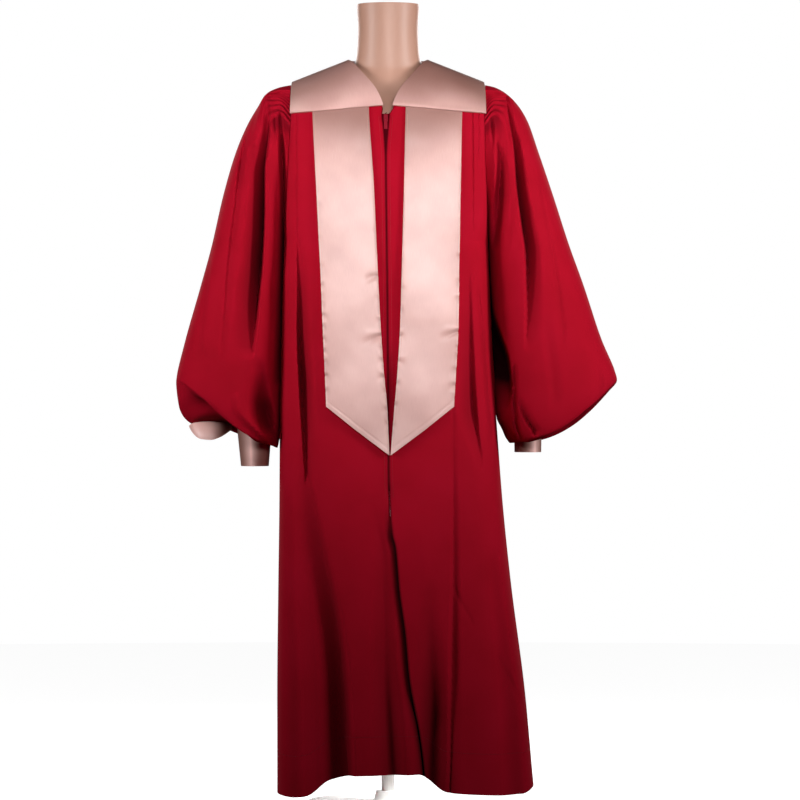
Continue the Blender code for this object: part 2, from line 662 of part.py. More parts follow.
def sleeve(hand):
    """A full sleeve: pleated into the armhole, hanging in folds, and turned up into its cuff."""
    table = RIGHT_SLEEVE if hand < 0 else LEFT_SLEEVE
    cuff = RIGHT_CUFF if hand < 0 else LEFT_CUFF
    head, ridges = sleeve_angles()
    head = np.radians(head)
    even = np.linspace(0, 2 * math.pi, head.size, endpoint=False) + head[0] * 0.5
    rings, pleats = [sleeve_head(hand, head)], [HEAD_PLEAT]
    for values in table:
        row = dict(zip(SLEEVE_COLUMNS, values))
        rings.append(section_ring(row, hand, head + (even - head) * row["fan"]))
        pleats.append(row["pleat"])
    cuff_size = dict(zip(CUFF_COLUMNS, cuff))
    low_share = 1.0 - CUFF_SEAM / (cuff_size["z_top"] - cuff_size["z_low"])
    for share in np.linspace(1.0, low_share, CUFF_RINGS):
        x, y, wide, deep, z = cuff_row(cuff, share, TWILL + SEAM)
        lip = np.stack([x + hand * wide * np.cos(even), y - deep * np.sin(even), np.full_like(even, z)], -1)
        rings.append(lip)
        pleats.append(0.0)
    grid = np.array(rings)
    normals = grid_normals(grid, closed=True)
    outwards = grid[3] - grid[3].mean(axis=0)
    if np.sum(normals[3] * outwards) < 0:
        normals = -normals
    side_of = np.where(grid[..., 1] < 0, -1, 1)
    lift = fold_height(grid, SLEEVE_FOLDS, side_of)
    lift[0] = 0
    lift[-CUFF_RINGS - 1:] = 0
    lift = lift + np.array(pleats)[:, None] * ridges[None, :]
    grid = grid + normals * lift[..., None]
    name = "sleeve_right" if hand < 0 else "sleeve_left"
    middle = grid.reshape(-1, 3).mean(axis=0)
    return wall(name, [(grid, True)], middle, TWILL, "red_twill")


def cuff(hand):
    """A satin cuff, a plain tube."""
    table = RIGHT_CUFF if hand < 0 else LEFT_CUFF
    turns = np.linspace(0, 2 * math.pi, CUFF_POINTS, endpoint=False)
    rings = []
    for share in np.linspace(0, 1, CUFF_ROWS):
        x, y, wide, deep, z = cuff_row(table, share, 0.0)
        rings.append(np.stack([x + wide * np.cos(turns), y + deep * np.sin(turns), np.full_like(turns, z)], -1))
    grid = np.array(rings)
    name = "cuff_right" if hand < 0 else "cuff_left"
    return wall(name, [(grid, True)], grid.reshape(-1, 3).mean(axis=0), SATIN, "satin")


def cuff_end():
    """The loose satin end that shows below the right sleeve, outside the cuff."""
    x = column(CUFF_END_COLUMNS, CUFF_END, "x")
    low = column(CUFF_END_COLUMNS, CUFF_END, "z")
    bulge = column(CUFF_END_COLUMNS, CUFF_END, "y")
    rows = []
    for share in np.linspace(0, 1, CUFF_END_ROWS):
        rows.append(np.stack([x, bulge * (1 - 0.5 * share**2), low + (CUFF_END_TOP - low) * share], -1))
    return wall("cuff_end_right", [(np.array(rows), False)], (-335, 120, 700), SATIN, "satin")


def stole(hand):
    """A satin band down one front, cut off slantwise to a point at the middle."""
    name = "right" if hand < 0 else "left"
    along = np.linspace(0, 1, STOLE_ROWS)[:, None]
    across = np.linspace(0, 1, STOLE_CROSS)[None, :]
    low = STOLE_TIP + (STOLE_CORNER - STOLE_TIP) * across
    z = np.concatenate([np.full_like(across, STOLE_TOP), YOKE_H + (low - YOKE_H) * along])
    inner = read(STOLE_COLUMNS, STOLES, name + "_in", z)
    outer = read(STOLE_COLUMNS, STOLES, name + "_out", z)
    x = inner + (outer - inner) * across
    grid = body_point(x, z, -1)
    off = read(STOLE_COLUMNS, STOLES, "off", z)
    normals = grid_normals(grid)
    grid = grid + normals * (off * np.where(normals[..., 1] > 0, -1, 1))[..., None]
    return wall("stole_" + name, [(grid, False)], (0, 0, 900), SATIN, "satin")


def collar():
    """The satin collar: two front flaps with the V between them, and the back, in one piece."""
    share = np.sin(np.linspace(0, math.pi / 2, COLLAR_ACROSS))[None, :]
    upper = np.array(COLLAR_ROWS, float)[:, None]
    grids = []
    for hand in (-1, 1):
        low = COLLAR_LOW_MIDDLE + (COLLAR_LOW_EDGE - COLLAR_LOW_MIDDLE) * share
        h = np.concatenate([low, np.broadcast_to(upper, (upper.size, share.size))])
        neck = read(NECKLINE_COLUMNS, NECKLINE, "x", h)
        flap = body_point(hand * (neck + (COLLAR_OUT - neck) * share), h, -1, 0.0, 0.0)
        grids.append((flap[:, ::hand], False))
    wing = NECK_X + (COLLAR_OUT - NECK_X) * share[0]
    nape = NECK_X * np.sin(np.linspace(-math.pi / 2, math.pi / 2, COLLAR_NAPE + 1))[1:-1]
    x = np.concatenate([-wing[::-1], nape, wing])[None, :]
    h = np.concatenate([[[COLLAR_BACK_LOW], [YOKE_H]], upper])
    grids.append((body_point(x, h, 1, 0.0, 0.0)[:, ::-1], False))
    return wall("collar", grids, (0, 0, 1100), SATIN, "satin", off=COLLAR_OFF)


def zip_tape(hand):
    """One zip tape, behind the edge of its front."""
    rows = np.array([h for h in BODY_ROWS + ARMHOLE_ROWS if h > TAPE_END], float)
    line = closure(rows[:, None], "line")
    x = line + hand * np.array([TAPE_HALF_GAP, TAPE_MIDDLE, TAPE_WIDE])[None, :]
    grid = body_point(x, rows[:, None], -1)
    name = "zip_tape_right" if hand < 0 else "zip_tape_left"
    return wall(name, [(grid, False)], (0, 0, 900), TAPE_THICK, "zip_tape", off=-(TWILL + SEAM))


def slider_place():
    """Where the slider's back face is: on the front of the tapes."""
    x = float(closure(SLIDER_H, "line"))
    surface = float(body_point(x, SLIDER_H, -1)[1])
    return x, surface + TWILL


def slider():
    """The zip's slider: its body, and the bridge that the pull hangs from."""
    x, back_y = slider_place()
    face = back_y - SLIDER_DEEP
    body = box(
        "zip_slider",
        (x - SLIDER_WIDE / 2, face, SLIDER_H - SLIDER_TALL / 2),
        (x + SLIDER_WIDE / 2, back_y, SLIDER_H + SLIDER_TALL / 2),
        "zip_metal",
    )
    bridge = box(
        "bridge_shape",
        (x - BRIDGE_WIDE / 2, face - BRIDGE_DEEP, SLIDER_H - BRIDGE_TALL / 2),
        (x + BRIDGE_WIDE / 2, face + 1.0, SLIDER_H + BRIDGE_TALL / 2),
        "zip_metal",
    )
    gap = box(
        "bridge_gap",
        (x - BRIDGE_WIDE, face - BRIDGE_DEEP + BRIDGE_THICK, SLIDER_H - BRIDGE_TALL / 2 + BRIDGE_THICK),
        (x + BRIDGE_WIDE, face, SLIDER_H + BRIDGE_TALL / 2 - BRIDGE_THICK),
        "zip_metal",
    )
    combine(bridge, gap, "DIFFERENCE")
    combine(body, bridge, "UNION")
    return body


def pull_axis():
    """The middle of the pull's top bar, which turns in the slider's bridge."""
    x, back_y = slider_place()
    gap_deep = BRIDGE_DEEP - BRIDGE_THICK
    return x, back_y - SLIDER_DEEP - gap_deep / 2, SLIDER_H + BRIDGE_TALL / 2 - BRIDGE_THICK - PULL_BAR


def pull():
    """The pull tab: a plate with a window whose top bar goes through the bridge."""
    x, y, z = pull_axis()
    half = PULL_THICK / 2
    top = PULL_BAR / 2
    plate = box(
        "zip_pull",
        (-PULL_WIDE / 2, -half, top - PULL_TALL),
        (PULL_WIDE / 2, half, top),
        "zip_metal",
    )
    window = box(
        "pull_window",
        (-PULL_WINDOW[0] / 2, -half * 2, -top - PULL_WINDOW[1]),
        (PULL_WINDOW[0] / 2, half * 2, -top),
        "zip_metal",
    )
    for thing in (plate, window):
        thing.location = (x * MM, y * MM, z * MM)
    combine(plate, window, "DIFFERENCE")
    return plate


def form_torso():
    """The dress form's torso and neck, smooth and closed."""
    turns = np.linspace(0, 2 * math.pi, FORM_POINTS, endpoint=False)
    c, s = np.cos(turns), np.sin(turns)
    rings = []
    for values in FORM_SECTIONS:
        row = dict(zip(FORM_COLUMNS, values))
        power = 2 / row["square"]
        reach = np.where(s < 0, row["front"], row["back"])
        x = np.sign(c) * np.abs(c) ** power * row["wide"]
        y = np.sign(s) * np.abs(s) ** power * reach
        rings.append(np.stack([x, y, np.full_like(x, row["z"])], -1))
    return closed_rings("form_torso", np.array(rings), "form_skin")


def turned(name, profile, count, material):
    """A solid turned about the Z axis from radius and height pairs."""
    turns = np.linspace(0, 2 * math.pi, count, endpoint=False)
    rings = [np.stack([r * np.cos(turns), r * np.sin(turns), np.full_like(turns, z)], -1) for r, z in profile]
    return closed_rings(name, np.array(rings), material)


def stand():
    """The pole and the round base under the torso."""
    form_low = FORM_SECTIONS[0][0]
    turned("form_pole", ((POLE_RADIUS, HUB_TOP + SEAM), (POLE_RADIUS, form_low - SEAM)), 20, "stand_white")
    profile = (
        (BASE_RADIUS, 0.0),
        (BASE_RADIUS, BASE_THICK - BASE_ROUND),
        (BASE_RADIUS - BASE_ROUND, BASE_THICK),
        (HUB_RADIUS, BASE_THICK + 1.0),
        (HUB_RADIUS - 4.0, HUB_TOP),
    )
    turned("form_base", profile, 40, "stand_white")


def main():
    """Builds every piece."""
    clear_scene()
    form_torso()
    stand()
    back()
    for hand in (-1, 1):
        front(hand)
        sleeve(hand)
        cuff(hand)
        stole(hand)
        zip_tape(hand)
    cuff_end()
    collar()
    slider()
    pull()


main()
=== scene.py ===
"""Looks of a red choir robe with a satin collar and stole bands, on a limbless dress form.

The cloth pieces are thin shells on the forms of the frame's solids, from the same sizes, with the
finer creases, puckers and sewing added. Tables and the sizes in the classes are in millimetres, and
meshes, lights and the camera in metres. The wearer's right is at -X and the front faces -Y.
"""

import logging
import math
from dataclasses import dataclass, field, replace
from enum import Enum
from typing import Iterable, NamedTuple

import bpy
import numpy as np
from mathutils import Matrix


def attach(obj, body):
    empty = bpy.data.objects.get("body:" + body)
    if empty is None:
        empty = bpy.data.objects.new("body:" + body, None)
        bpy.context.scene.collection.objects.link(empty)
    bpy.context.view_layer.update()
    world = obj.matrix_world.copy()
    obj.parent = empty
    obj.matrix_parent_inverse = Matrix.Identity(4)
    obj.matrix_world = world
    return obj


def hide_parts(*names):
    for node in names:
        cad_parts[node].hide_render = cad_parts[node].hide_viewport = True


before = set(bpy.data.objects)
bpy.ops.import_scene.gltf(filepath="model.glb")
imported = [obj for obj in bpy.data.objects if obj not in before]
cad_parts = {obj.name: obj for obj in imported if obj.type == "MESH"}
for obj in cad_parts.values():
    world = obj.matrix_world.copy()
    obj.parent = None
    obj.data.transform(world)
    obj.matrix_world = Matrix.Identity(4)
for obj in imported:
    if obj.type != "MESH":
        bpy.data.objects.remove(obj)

Array = np.ndarray
LOG = logging.getLogger("choir_robe")
MM = 0.001
SHARP_DEGREES = 40.0
ROBE = "robe"


class Hand(Enum):
    """The wearer's side, as the sign of X."""

    RIGHT = -1
    LEFT = 1

    @property
    def word(self) -> str:
        """The side's name in the names of pieces."""
        return self.name.lower()


class Face(Enum):
    """The front or the back of the robe, as the sign of Y."""

    FRONT = -1
    BACK = 1


@dataclass(frozen=True)
class Table:
    """Numbers in named columns, read smoothly between the rows."""

    names: tuple[str, ...]
    rows: tuple[tuple[float, ...], ...]

    def column(self, name: str) -> Array:
        """One whole column."""
        return np.array([row[self.names.index(name)] for row in self.rows], float)

    def read(self, name: str, at: Array | float) -> Array:
        """A column read at values of the first column.

        Args:
            name: The column.
            at: Values of the first column.

        Returns:
            The column's values there, with no overshoot between rows.
        """
        return smooth_curve(self.column(self.names[0]), self.column(name), np.asarray(at, float))


def smooth_curve(xs: Array, ys: Array, at: Array) -> Array:
    """A smooth curve through points, with no overshoot between them.

    Args:
        xs: Rising places of the points.
        ys: Values there, one number or one row for each place.
        at: Where to read the curve.

    Returns:
        The values at those places.
    """
    at = np.clip(at, xs[0], xs[-1])
    steps = np.diff(xs)
    wide = steps.reshape(-1, *[1] * (ys.ndim - 1))
    slopes = np.diff(ys, axis=0) / wide
    tangents = np.zeros_like(ys)
    tangents[0], tangents[-1] = slopes[0], slopes[-1]
    before, after = slopes[:-1], slopes[1:]
    same = before * after > 0
    total = np.where(same, before + after, 1.0)
    tangents[1:-1] = np.where(same, 2 * before * after / total, 0.0)
    place = np.clip(np.searchsorted(xs, at, side="right") - 1, 0, len(xs) - 2)
    shape = np.shape(place) + (1,) * (ys.ndim - 1)
    step = steps[place].reshape(shape)
    t = (at - xs[place]).reshape(shape) / step
    return (
        (2 * t**3 - 3 * t**2 + 1) * ys[place]
        + (t**3 - 2 * t**2 + t) * step * tangents[place]
        + (3 * t**2 - 2 * t**3) * ys[place + 1]
        + (t**3 - t**2) * step * tangents[place + 1]
    )


def ease(value: Array | float, start: float, end: float) -> Array:
    """0 before start and 1 after end, turning smoothly between them."""
    t = np.clip((np.asarray(value, float) - start) / (end - start), 0, 1)
    return t * t * (3 - 2 * t)


# The body's section at each height: half widths to the wearer's right and left, depths to the front
# and back, and how square the front and back halves are, where 2 is an ellipse.
BODY = Table(
    ("h", "right", "left", "front", "back", "front_square", "back_square"),
    (
        (14, 207, 272, 205, 222, 2.4, 2.2), (193, 207, 256, 192, 208, 2.5, 2.2),
        (401, 205, 230, 176, 184, 2.6, 2.3), (550, 203, 215, 164, 165, 2.8, 2.3),
        (680, 202, 205, 154, 150, 3.2, 2.4), (838, 199, 194, 145, 136, 3.8, 2.5),
        (922, 197, 190, 140, 128, 4.4, 2.6), (1008, 194, 187, 135, 119, 5.0, 2.9),
        (1138, 187, 183, 127, 108, 5.0, 3.2), (1220, 183, 180, 117, 99, 4.0, 3.0),
        (1284, 180, 179, 105, 89, 3.0, 2.8), (1343, 181, 181, 60, 60, 2.7, 2.7),
    ),
)
# The hem's height across the front view.
FRONT_HEM = Table(
    ("x", "z"),
    (
        (-207, 23), (-176, 21), (-151, 26), (-105, 58), (-62, 66), (56, 68), (105, 37), (121, 34),
        (249, 26), (262, 30), (272, 36),
    ),
)
BACK_HEM = Table(("x", "z"), ((-207, 23), (-160, 38), (0, 44), (200, 40), (272, 36)))
# The zip's line, the gap from it to each front's edge, and how far past the line the right front
# runs under and the left front over, below the zip.
CLOSURE = Table(
    ("h", "line", "lip", "under", "over"),
    (
        (14, 6, 0.4, 82, 62), (60, 6, 0.4, 76, 57), (109, 6, 0.4, 70, 50), (208, 6, 0.4, 58, 33),
        (292, 6, 0.4, 48, 26), (380, 6, 0.4, 36, 15), (465, 6, 0.4, 18, 8), (491, 5.6, 0.4, 8, 2.6),
        (535, 4.2, 0.4, 0, 0), (603, 1.9, 0.4, 0, 0), (941, -0.7, 0.4, 0, 0), (1194, -3.7, 0.6, 0, 0),
        (1284, -4, 6.5, 0, 0),
    ),
)
# The V of the neck: half its width at each height.
NECKLINE = Table(
    ("h", "x"),
    ((1284, 6), (1293, 9), (1307, 19), (1315, 28), (1326, 45), (1339, 65), (1343, 72)),
)
# Both edges of each stole band, and how far the bands stand off the fronts.
STOLES = Table(
    ("z", "right_in", "right_out", "left_in", "left_out", "off"),
    (
        (640, 3.0, -108, 4.6, 115, 9.0), (743, -1.5, -111.5, 12.4, 119.5, 8.0),
        (795, -6.5, -114, 17, 123, 7.5), (885, -13, -118.5, 22.4, 128, 6.5),
        (1020, -20, -125, 26.5, 131, 5.5), (1150, -26, -132, 30, 134, 4.0),
        (1284, -35, -139, 33, 137, 2.4), (1310, -36, -140, 34, 138, 2.4),
    ),
)
# The sleeves' sections, from the armhole to the cuff: the outer and the inner end, the reach to the
# front and the back, the sag of the middle, how square the section is, the height of its pleats, how
# evenly its points stand from 0 as on the armhole to 1, the tuck behind and the rise of the front.
SLEEVE_COLUMNS = (
    "out_x", "out_z", "in_x", "in_z", "front", "back", "sag", "square", "pleat", "fan", "tuck", "rise",
)
RIGHT_SLEEVE = Table(
    SLEEVE_COLUMNS,
    (
        (202, 1339, 194, 1041, 97, 97, 0, 2.0, 2.6, 0, 0, 0),
        (226, 1328, 198, 1024, 102, 102, 0, 2.0, 0.9, 0.1, 4, 0),
        (244, 1301, 200, 1003, 107, 107, 0, 2.1, 0, 0.3, 8, 0),
        (262, 1270, 201, 980, 111, 111, 0, 2.1, 0, 0.5, 12, 0),
        (284, 1218, 202, 950, 115, 115, 0, 2.2, 0, 0.75, 18, 0),
        (307, 1140, 203, 910, 118, 119, 0, 2.2, 0, 1, 22, 0),
        (330, 1040, 204, 862, 120, 123, 0, 2.3, 0, 1, 24, 0),
        (352, 960, 205, 812, 120, 126, 2, 2.3, 0, 1, 24, 0),
        (379, 865, 206, 752, 117, 128, 8, 2.3, 0, 1, 16, 0),
        (395, 797, 207, 700, 111, 128, 18, 2.3, 0, 1, 12, 6),
        (396, 784, 207.5, 676, 104, 126, 26, 2.2, 0, 1, 6, 26),
        (391, 742, 208.5, 667, 86, 118, 8, 2.2, 0, 1, 0, 46),
        (380, 720, 210.5, 665, 72, 100, -10, 2.1, 0, 1, 0, 40),
        (362, 709, 212.5, 673, 62, 82, -14, 2.0, 0, 1, 0, 22),
        (334, 715, 213, 690, 54, 64, -10, 2.0, 0, 1, 0, 6),
    ),
)
LEFT_SLEEVE = Table(
    SLEEVE_COLUMNS,
    (
        (199, 1339, 189, 1041, 97, 97, 0, 2.0, 2.6, 0, 0, 0),
        (221, 1327, 192, 1024, 102, 102, 0, 2.0, 0.9, 0.1, 4, 0),
        (242, 1306, 194, 1003, 107, 107, 0, 2.1, 0, 0.3, 8, 0),
        (260, 1277, 195, 980, 111, 111, 0, 2.1, 0, 0.5, 12, 0),
        (282, 1215, 196, 950, 115, 115, 0, 2.2, 0, 0.75, 20, 0),
        (308, 1138, 198, 908, 118, 119, 0, 2.2, 0, 1, 24, 0),
        (338, 1045, 200, 862, 120, 123, 0, 2.3, 0, 1, 26, 0),
        (365, 970, 202, 816, 120, 126, 4, 2.3, 0, 1, 26, 0),
        (399, 868, 206, 765, 117, 128, 16, 2.3, 0, 1, 18, 0),
        (424, 808, 209, 722, 112, 128, 36, 2.3, 0, 1, 12, 6),
        (428, 790, 213, 700, 104, 124, 52, 2.2, 0, 1, 6, 16),
        (414, 772, 220, 684, 86, 112, 40, 2.2, 0, 1, 0, 20),
        (384, 748, 228, 674, 68, 92, 16, 2.1, 0, 1, 0, 12),
        (338, 724, 232.5, 682, 55, 68, 2, 2.0, 0, 1, 0, 4),
    ),
)
# The lower edge of the loose cuff end, with its bulge to the front.
CUFF_END = Table(
    ("x", "z", "y"),
    (
        (-372, 704, 2), (-364, 692, -14), (-350, 682, -27), (-330, 680, -32), (-313, 685, -26),
        (-300, 693, -14), (-291, 700, 0),
    ),
)
# The dress form's section at each height.
FORM = Table(
    ("z", "wide", "front", "back", "square"),
    (
        (764, 122, 82, 86, 2.2), (770, 146, 98, 102, 2.2), (790, 156, 104, 110, 2.2),
        (860, 152, 100, 108, 2.2), (950, 134, 90, 92, 2.2), (1050, 147, 100, 95, 2.2),
        (1150, 158, 109, 94, 2.3), (1230, 164, 100, 84, 2.4), (1290, 167, 82, 72, 2.5),
        (1325, 164, 66, 62, 2.4), (1345, 150, 60, 58, 1.7), (1358, 122, 57, 57, 1.5),
        (1368, 90, 55, 57, 1.5), (1377, 69, 54, 57, 1.7), (1388, 60.5, 54, 57, 1.9),
        (1410, 57.5, 54, 57, 2.0), (1450, 56, 54, 57, 2.0), (1488, 58, 55, 57, 2.0),
        (1494, 57.5, 54.5, 56.5, 2.0),
    ),
)


class Fold(NamedTuple):
    """A fold, named for its place, as a line of points in the front view, from the top down.

    Each row has X, Z, the half width there and the depth, below 0 for a valley. A lean above 0 makes
    the +X side the steep one, a crisp fold has a sharp bottom, and the fade is the length of its ends.
    """

    name: str
    rows: tuple[tuple[float, float, float, float], ...]
    lean: float = 0.0
    crisp: float = 0.0
    fade: float = 30.0
    side: int = -1


BODY_FOLDS = (
    Fold("right line", (
        (-168, 1280, 3, -1.5), (-168, 1128, 3, -1.8), (-166, 1012, 4, -2.5),
    ), lean=0.3, crisp=0.6, fade=20),
    Fold("right pleat", (
        (-166, 1026, 8, -2), (-165, 960, 13, -12), (-165, 887, 15, -22), (-161, 786, 17, -30),
        (-157, 717, 16, -22), (-151, 623, 14, -8),
    ), lean=-0.75, crisp=0.4),
    Fold("right valley", (
        (-150, 640, 14, -4), (-124, 500, 24, -13), (-99, 379, 30, -20), (-84, 272, 33, -25),
        (-76, 149, 36, -28), (-72, 25, 38, -28),
    ), lean=0.6, crisp=0.1, fade=90),
    Fold("right flank", (
        (-185, 567, 14, -2), (-181, 380, 18, -5), (-172, 193, 22, -9), (-170, 34, 24, -10),
    ), lean=0.2),
    Fold("centre", (
        (-19, 530, 14, -2), (-7, 455, 20, -6), (-4, 306, 26, -8), (7, 156, 34, -16), (15, 25, 40, -20),
    ), lean=0.2, fade=40),
    Fold("centre right", (
        (79, 380, 20, -3), (80, 268, 34, -14), (79, 156, 44, -26), (75, 25, 50, -30),
    ), fade=50),
    Fold("left crease", (
        (119, 740, 6, -1), (120, 605, 10, -4), (120, 465, 12, -6), (117, 268, 15, -9),
        (115, 100, 17, -10), (113, 25, 18, -10),
    ), lean=-0.5, crisp=0.3, fade=60),
    Fold("left pleat", (
        (150, 969, 10, -2), (151, 885, 17, -8), (153, 810, 21, -13), (157, 736, 22, -16),
        (163, 689, 18, -9), (172, 646, 10, -3),
    ), lean=0.55, crisp=0.1),
    Fold("left tuck", (
        (157, 1282, 3, -2.5), (157, 1222, 3.5, -2.5), (157, 1072, 4, -1.5),
    ), lean=0.3, crisp=0.6, fade=20),
    Fold("left tuck 2", (
        (168, 1282, 2.5, -2), (168, 1250, 2.5, -1.6), (166, 1194, 3, -1.2),
    ), crisp=0.6, fade=15),
    Fold("left side", (
        (168, 941, 6, -3), (180, 848, 8, -6), (187, 754, 8, -8), (193, 698, 8, -6),
    ), lean=0.3),
    Fold("left flank", (
        (198, 455, 14, -3), (215, 306, 18, -7), (232, 156, 24, -11), (239, 34, 26, -12),
    ), lean=0.2),
    Fold("left low crease", (
        (125, 403, 6, -1.6), (138, 377, 7, -1.8), (155, 349, 6, -1.4),
    ), lean=0.3, crisp=0.3, fade=14),
    Fold("left low crease 2", (
        (208, 272, 8, -2.4), (228, 235, 9, -2.6), (249, 190, 8, -2),
    ), lean=0.3, crisp=0.3, fade=18),
    Fold("zip dimple", (
        (-2, 609, 8, -1.0), (2, 590, 9, -2.4), (6, 571, 8, -1.0),
    ), crisp=0.3, fade=12),
    Fold("zip dimple 2", (
        (2, 509, 8, -1.0), (6, 491, 10, -2.8), (9, 476, 8, -1.0),
    ), crisp=0.3, fade=10),
)
SLEEVE_FOLDS = (
    Fold("right valley", (
        (-217, 1310, 5, -3), (-220, 1271, 8, -12), (-225, 1224, 12, -26), (-230, 1175, 16, -36),
        (-231, 1104, 20, -44), (-235, 1018, 23, -46), (-242, 941, 26, -34), (-250, 857, 26, -12),
    ), lean=0.72, crisp=0.4),
    Fold("right inner", (
        (-200, 1284, 4, -4), (-198, 1248, 7, -16), (-194, 1175, 9, -30), (-193, 1104, 10, -36),
        (-194, 1018, 11, -36), (-198, 904, 12, -26), (-204, 792, 12, -16),
    ), lean=-0.1, crisp=0.3, fade=14),
    Fold("right gather", (
        (-213, 1285, 3, -3), (-211, 1271, 5, -8), (-209, 1248, 4, -4),
    ), crisp=0.5, fade=14),
    Fold("right gather 2", (
        (-189, 1278, 3, -3), (-187, 1256, 4, -6), (-185, 1222, 4, -4),
    ), crisp=0.5, fade=14),
    Fold("right tongue", (
        (-236, 1302, 5, 2), (-243, 1269, 9, 5), (-248, 1231, 11, 6),
    ), fade=16),
    Fold("right dent", (
        (-243, 1232, 10, -3), (-249, 1214, 13, -6), (-258, 1156, 12, -3),
    ), lean=0.2, fade=14),
    Fold("right outer", (
        (-266, 1233, 7, -6), (-275, 1181, 10, -12), (-280, 1130, 9, -7), (-295, 988, 9, -5),
        (-305, 846, 9, -3),
    ), lean=-0.4, crisp=0.5, fade=20),
    Fold("right mid", (
        (-325, 1069, 5, -1), (-337, 960, 9, -3), (-346, 857, 10, -3),
    ), lean=0.2, crisp=0.3, fade=40),
    Fold("right roll", (
        (-280, 758, 12, 3), (-275, 738, 15, 6), (-262, 719, 17, 8), (-235, 691, 17, 8),
        (-219, 676, 15, 5),
    ), lean=-0.2, fade=12),
    Fold("right hollow", (
        (-236, 807, 18, -8), (-234, 764, 26, -24), (-228, 736, 28, -38), (-221, 710, 24, -34),
        (-209, 687, 16, -12),
    ), lean=0.2),
    Fold("left valley", (
        (219, 1319, 4, -3), (226, 1271, 7, -12), (234, 1224, 10, -22), (240, 1151, 13, -34),
        (249, 1080, 16, -36), (257, 1018, 18, -30), (258, 941, 18, -16), (256, 870, 18, -5),
    ), lean=-0.7, crisp=0.5),
    Fold("left gather", (
        (189, 1280, 3, -3), (193, 1259, 5, -10), (196, 1239, 6, -8),
    ), lean=0.2, crisp=0.5, fade=10),
    Fold("left gather 2", (
        (178, 1276, 3, -3), (180, 1256, 5, -8), (181, 1222, 5, -6),
    ), crisp=0.5, fade=10),
    Fold("left inner", (
        (202, 1229, 8, -4), (208, 1188, 13, -16), (206, 1128, 14, -20), (198, 1054, 12, -12),
    ), lean=-0.2, fade=25),
    Fold("left cavity", (
        (172, 1241, 55, -14), (181, 1128, 55, -46), (184, 1054, 55, -66), (189, 960, 56, -88),
        (193, 919, 56, -96), (208, 868, 58, -98), (219, 833, 58, -88), (224, 801, 56, -60),
        (226, 771, 52, -26), (221, 747, 40, -8),
    ), lean=0.9, fade=10),
    Fold("left seam fold", (
        (234, 814, 5, -6), (234, 754, 6, -9), (236, 710, 6, -9), (245, 683, 6, -6),
    ), lean=-0.3, crisp=0.3, fade=8),
    Fold("left outer", (
        (284, 1147, 6, -1.5), (307, 1016, 10, -3), (324, 885, 10, -3),
    ), lean=0.2, crisp=0.3, fade=50),
    Fold("left mid", (
        (292, 885, 12, -1), (301, 820, 16, -3), (307, 764, 16, -3),
    ), lean=-0.3, crisp=0.2, fade=40),
    Fold("left lobe", (
        (245, 747, 8, -4), (258, 717, 10, -12), (271, 698, 10, -14),
    ), lean=-0.3, crisp=0.2, fade=12),
    Fold("left tip", (
        (396, 807, 7, -2), (398, 784, 9, -4), (396, 762, 8, -3),
    ), lean=0.2, crisp=0.3, fade=10),
    Fold("right back", (
        (-222, 1306, 8, -4), (-240, 1160, 18, -16), (-262, 900, 24, -20),
    ), lean=0.2, crisp=0.3, fade=45, side=1),
    Fold("right back outer", (
        (-262, 1250, 9, -3), (-300, 1040, 18, -10), (-322, 850, 24, -14),
    ), crisp=0.3, fade=45, side=1),
    Fold("left back", (
        (222, 1306, 8, -4), (242, 1150, 18, -16), (268, 900, 24, -20),
    ), lean=0.2, crisp=0.3, fade=45, side=1),
    Fold("left back outer", (
        (264, 1250, 9, -3), (306, 1040, 18, -10), (338, 850, 24, -14),
    ), crisp=0.3, fade=45, side=1),
)


# The depth of a valley that shuts its cloth off from the light, and the height below which a fold
# runs out through the hem, in millimetres.
SHADE_DEPTH = 50.0
OPEN_FOLD_H = 112.0


def fold_height(points: Array, folds: Iterable[Fold], side_of: Array | int) -> tuple[Array, Array]:
    """How far the folds move each point towards the viewer, and how shut in they leave it.

    Args:
        points: Points in millimetres.
        folds: The folds.
        side_of: -1 for points of the front and 1 for those of the back.

    Returns:
        The heights, below 0 into the cloth, and a shade from 0 in the open to 1 shut in.
    """
    x, z = points[..., 0], points[..., 2]
    height, shade = np.zeros_like(x), np.zeros_like(x)
    for fold in folds:
        rows = np.array(fold.rows, float)[::-1]
        middle, wide, deep = (smooth_curve(rows[:, 1], rows[:, column], z) for column in (0, 2, 3))
        away = x - middle
        reach = wide * np.where(away > 0, 1 - fold.lean, 1 + fold.lean)
        t = np.clip(np.abs(away) / reach, 0, 1)
        across = (1 - fold.crisp) * (1 - ease(t, 0, 1)) + fold.crisp * (1 - t) ** 2
        low, top = rows[0, 1], rows[-1, 1]
        ends = 1 - ease(z, top, top + fold.fade)
        if low > OPEN_FOLD_H:
            ends = ends * ease(z, low - fold.fade, low)
        move = np.where(side_of == fold.side, deep * across * ends, 0)
        height += move
        shade += np.clip(-move / SHADE_DEPTH, 0, 1)
    return height, np.clip(shade, 0, 1)


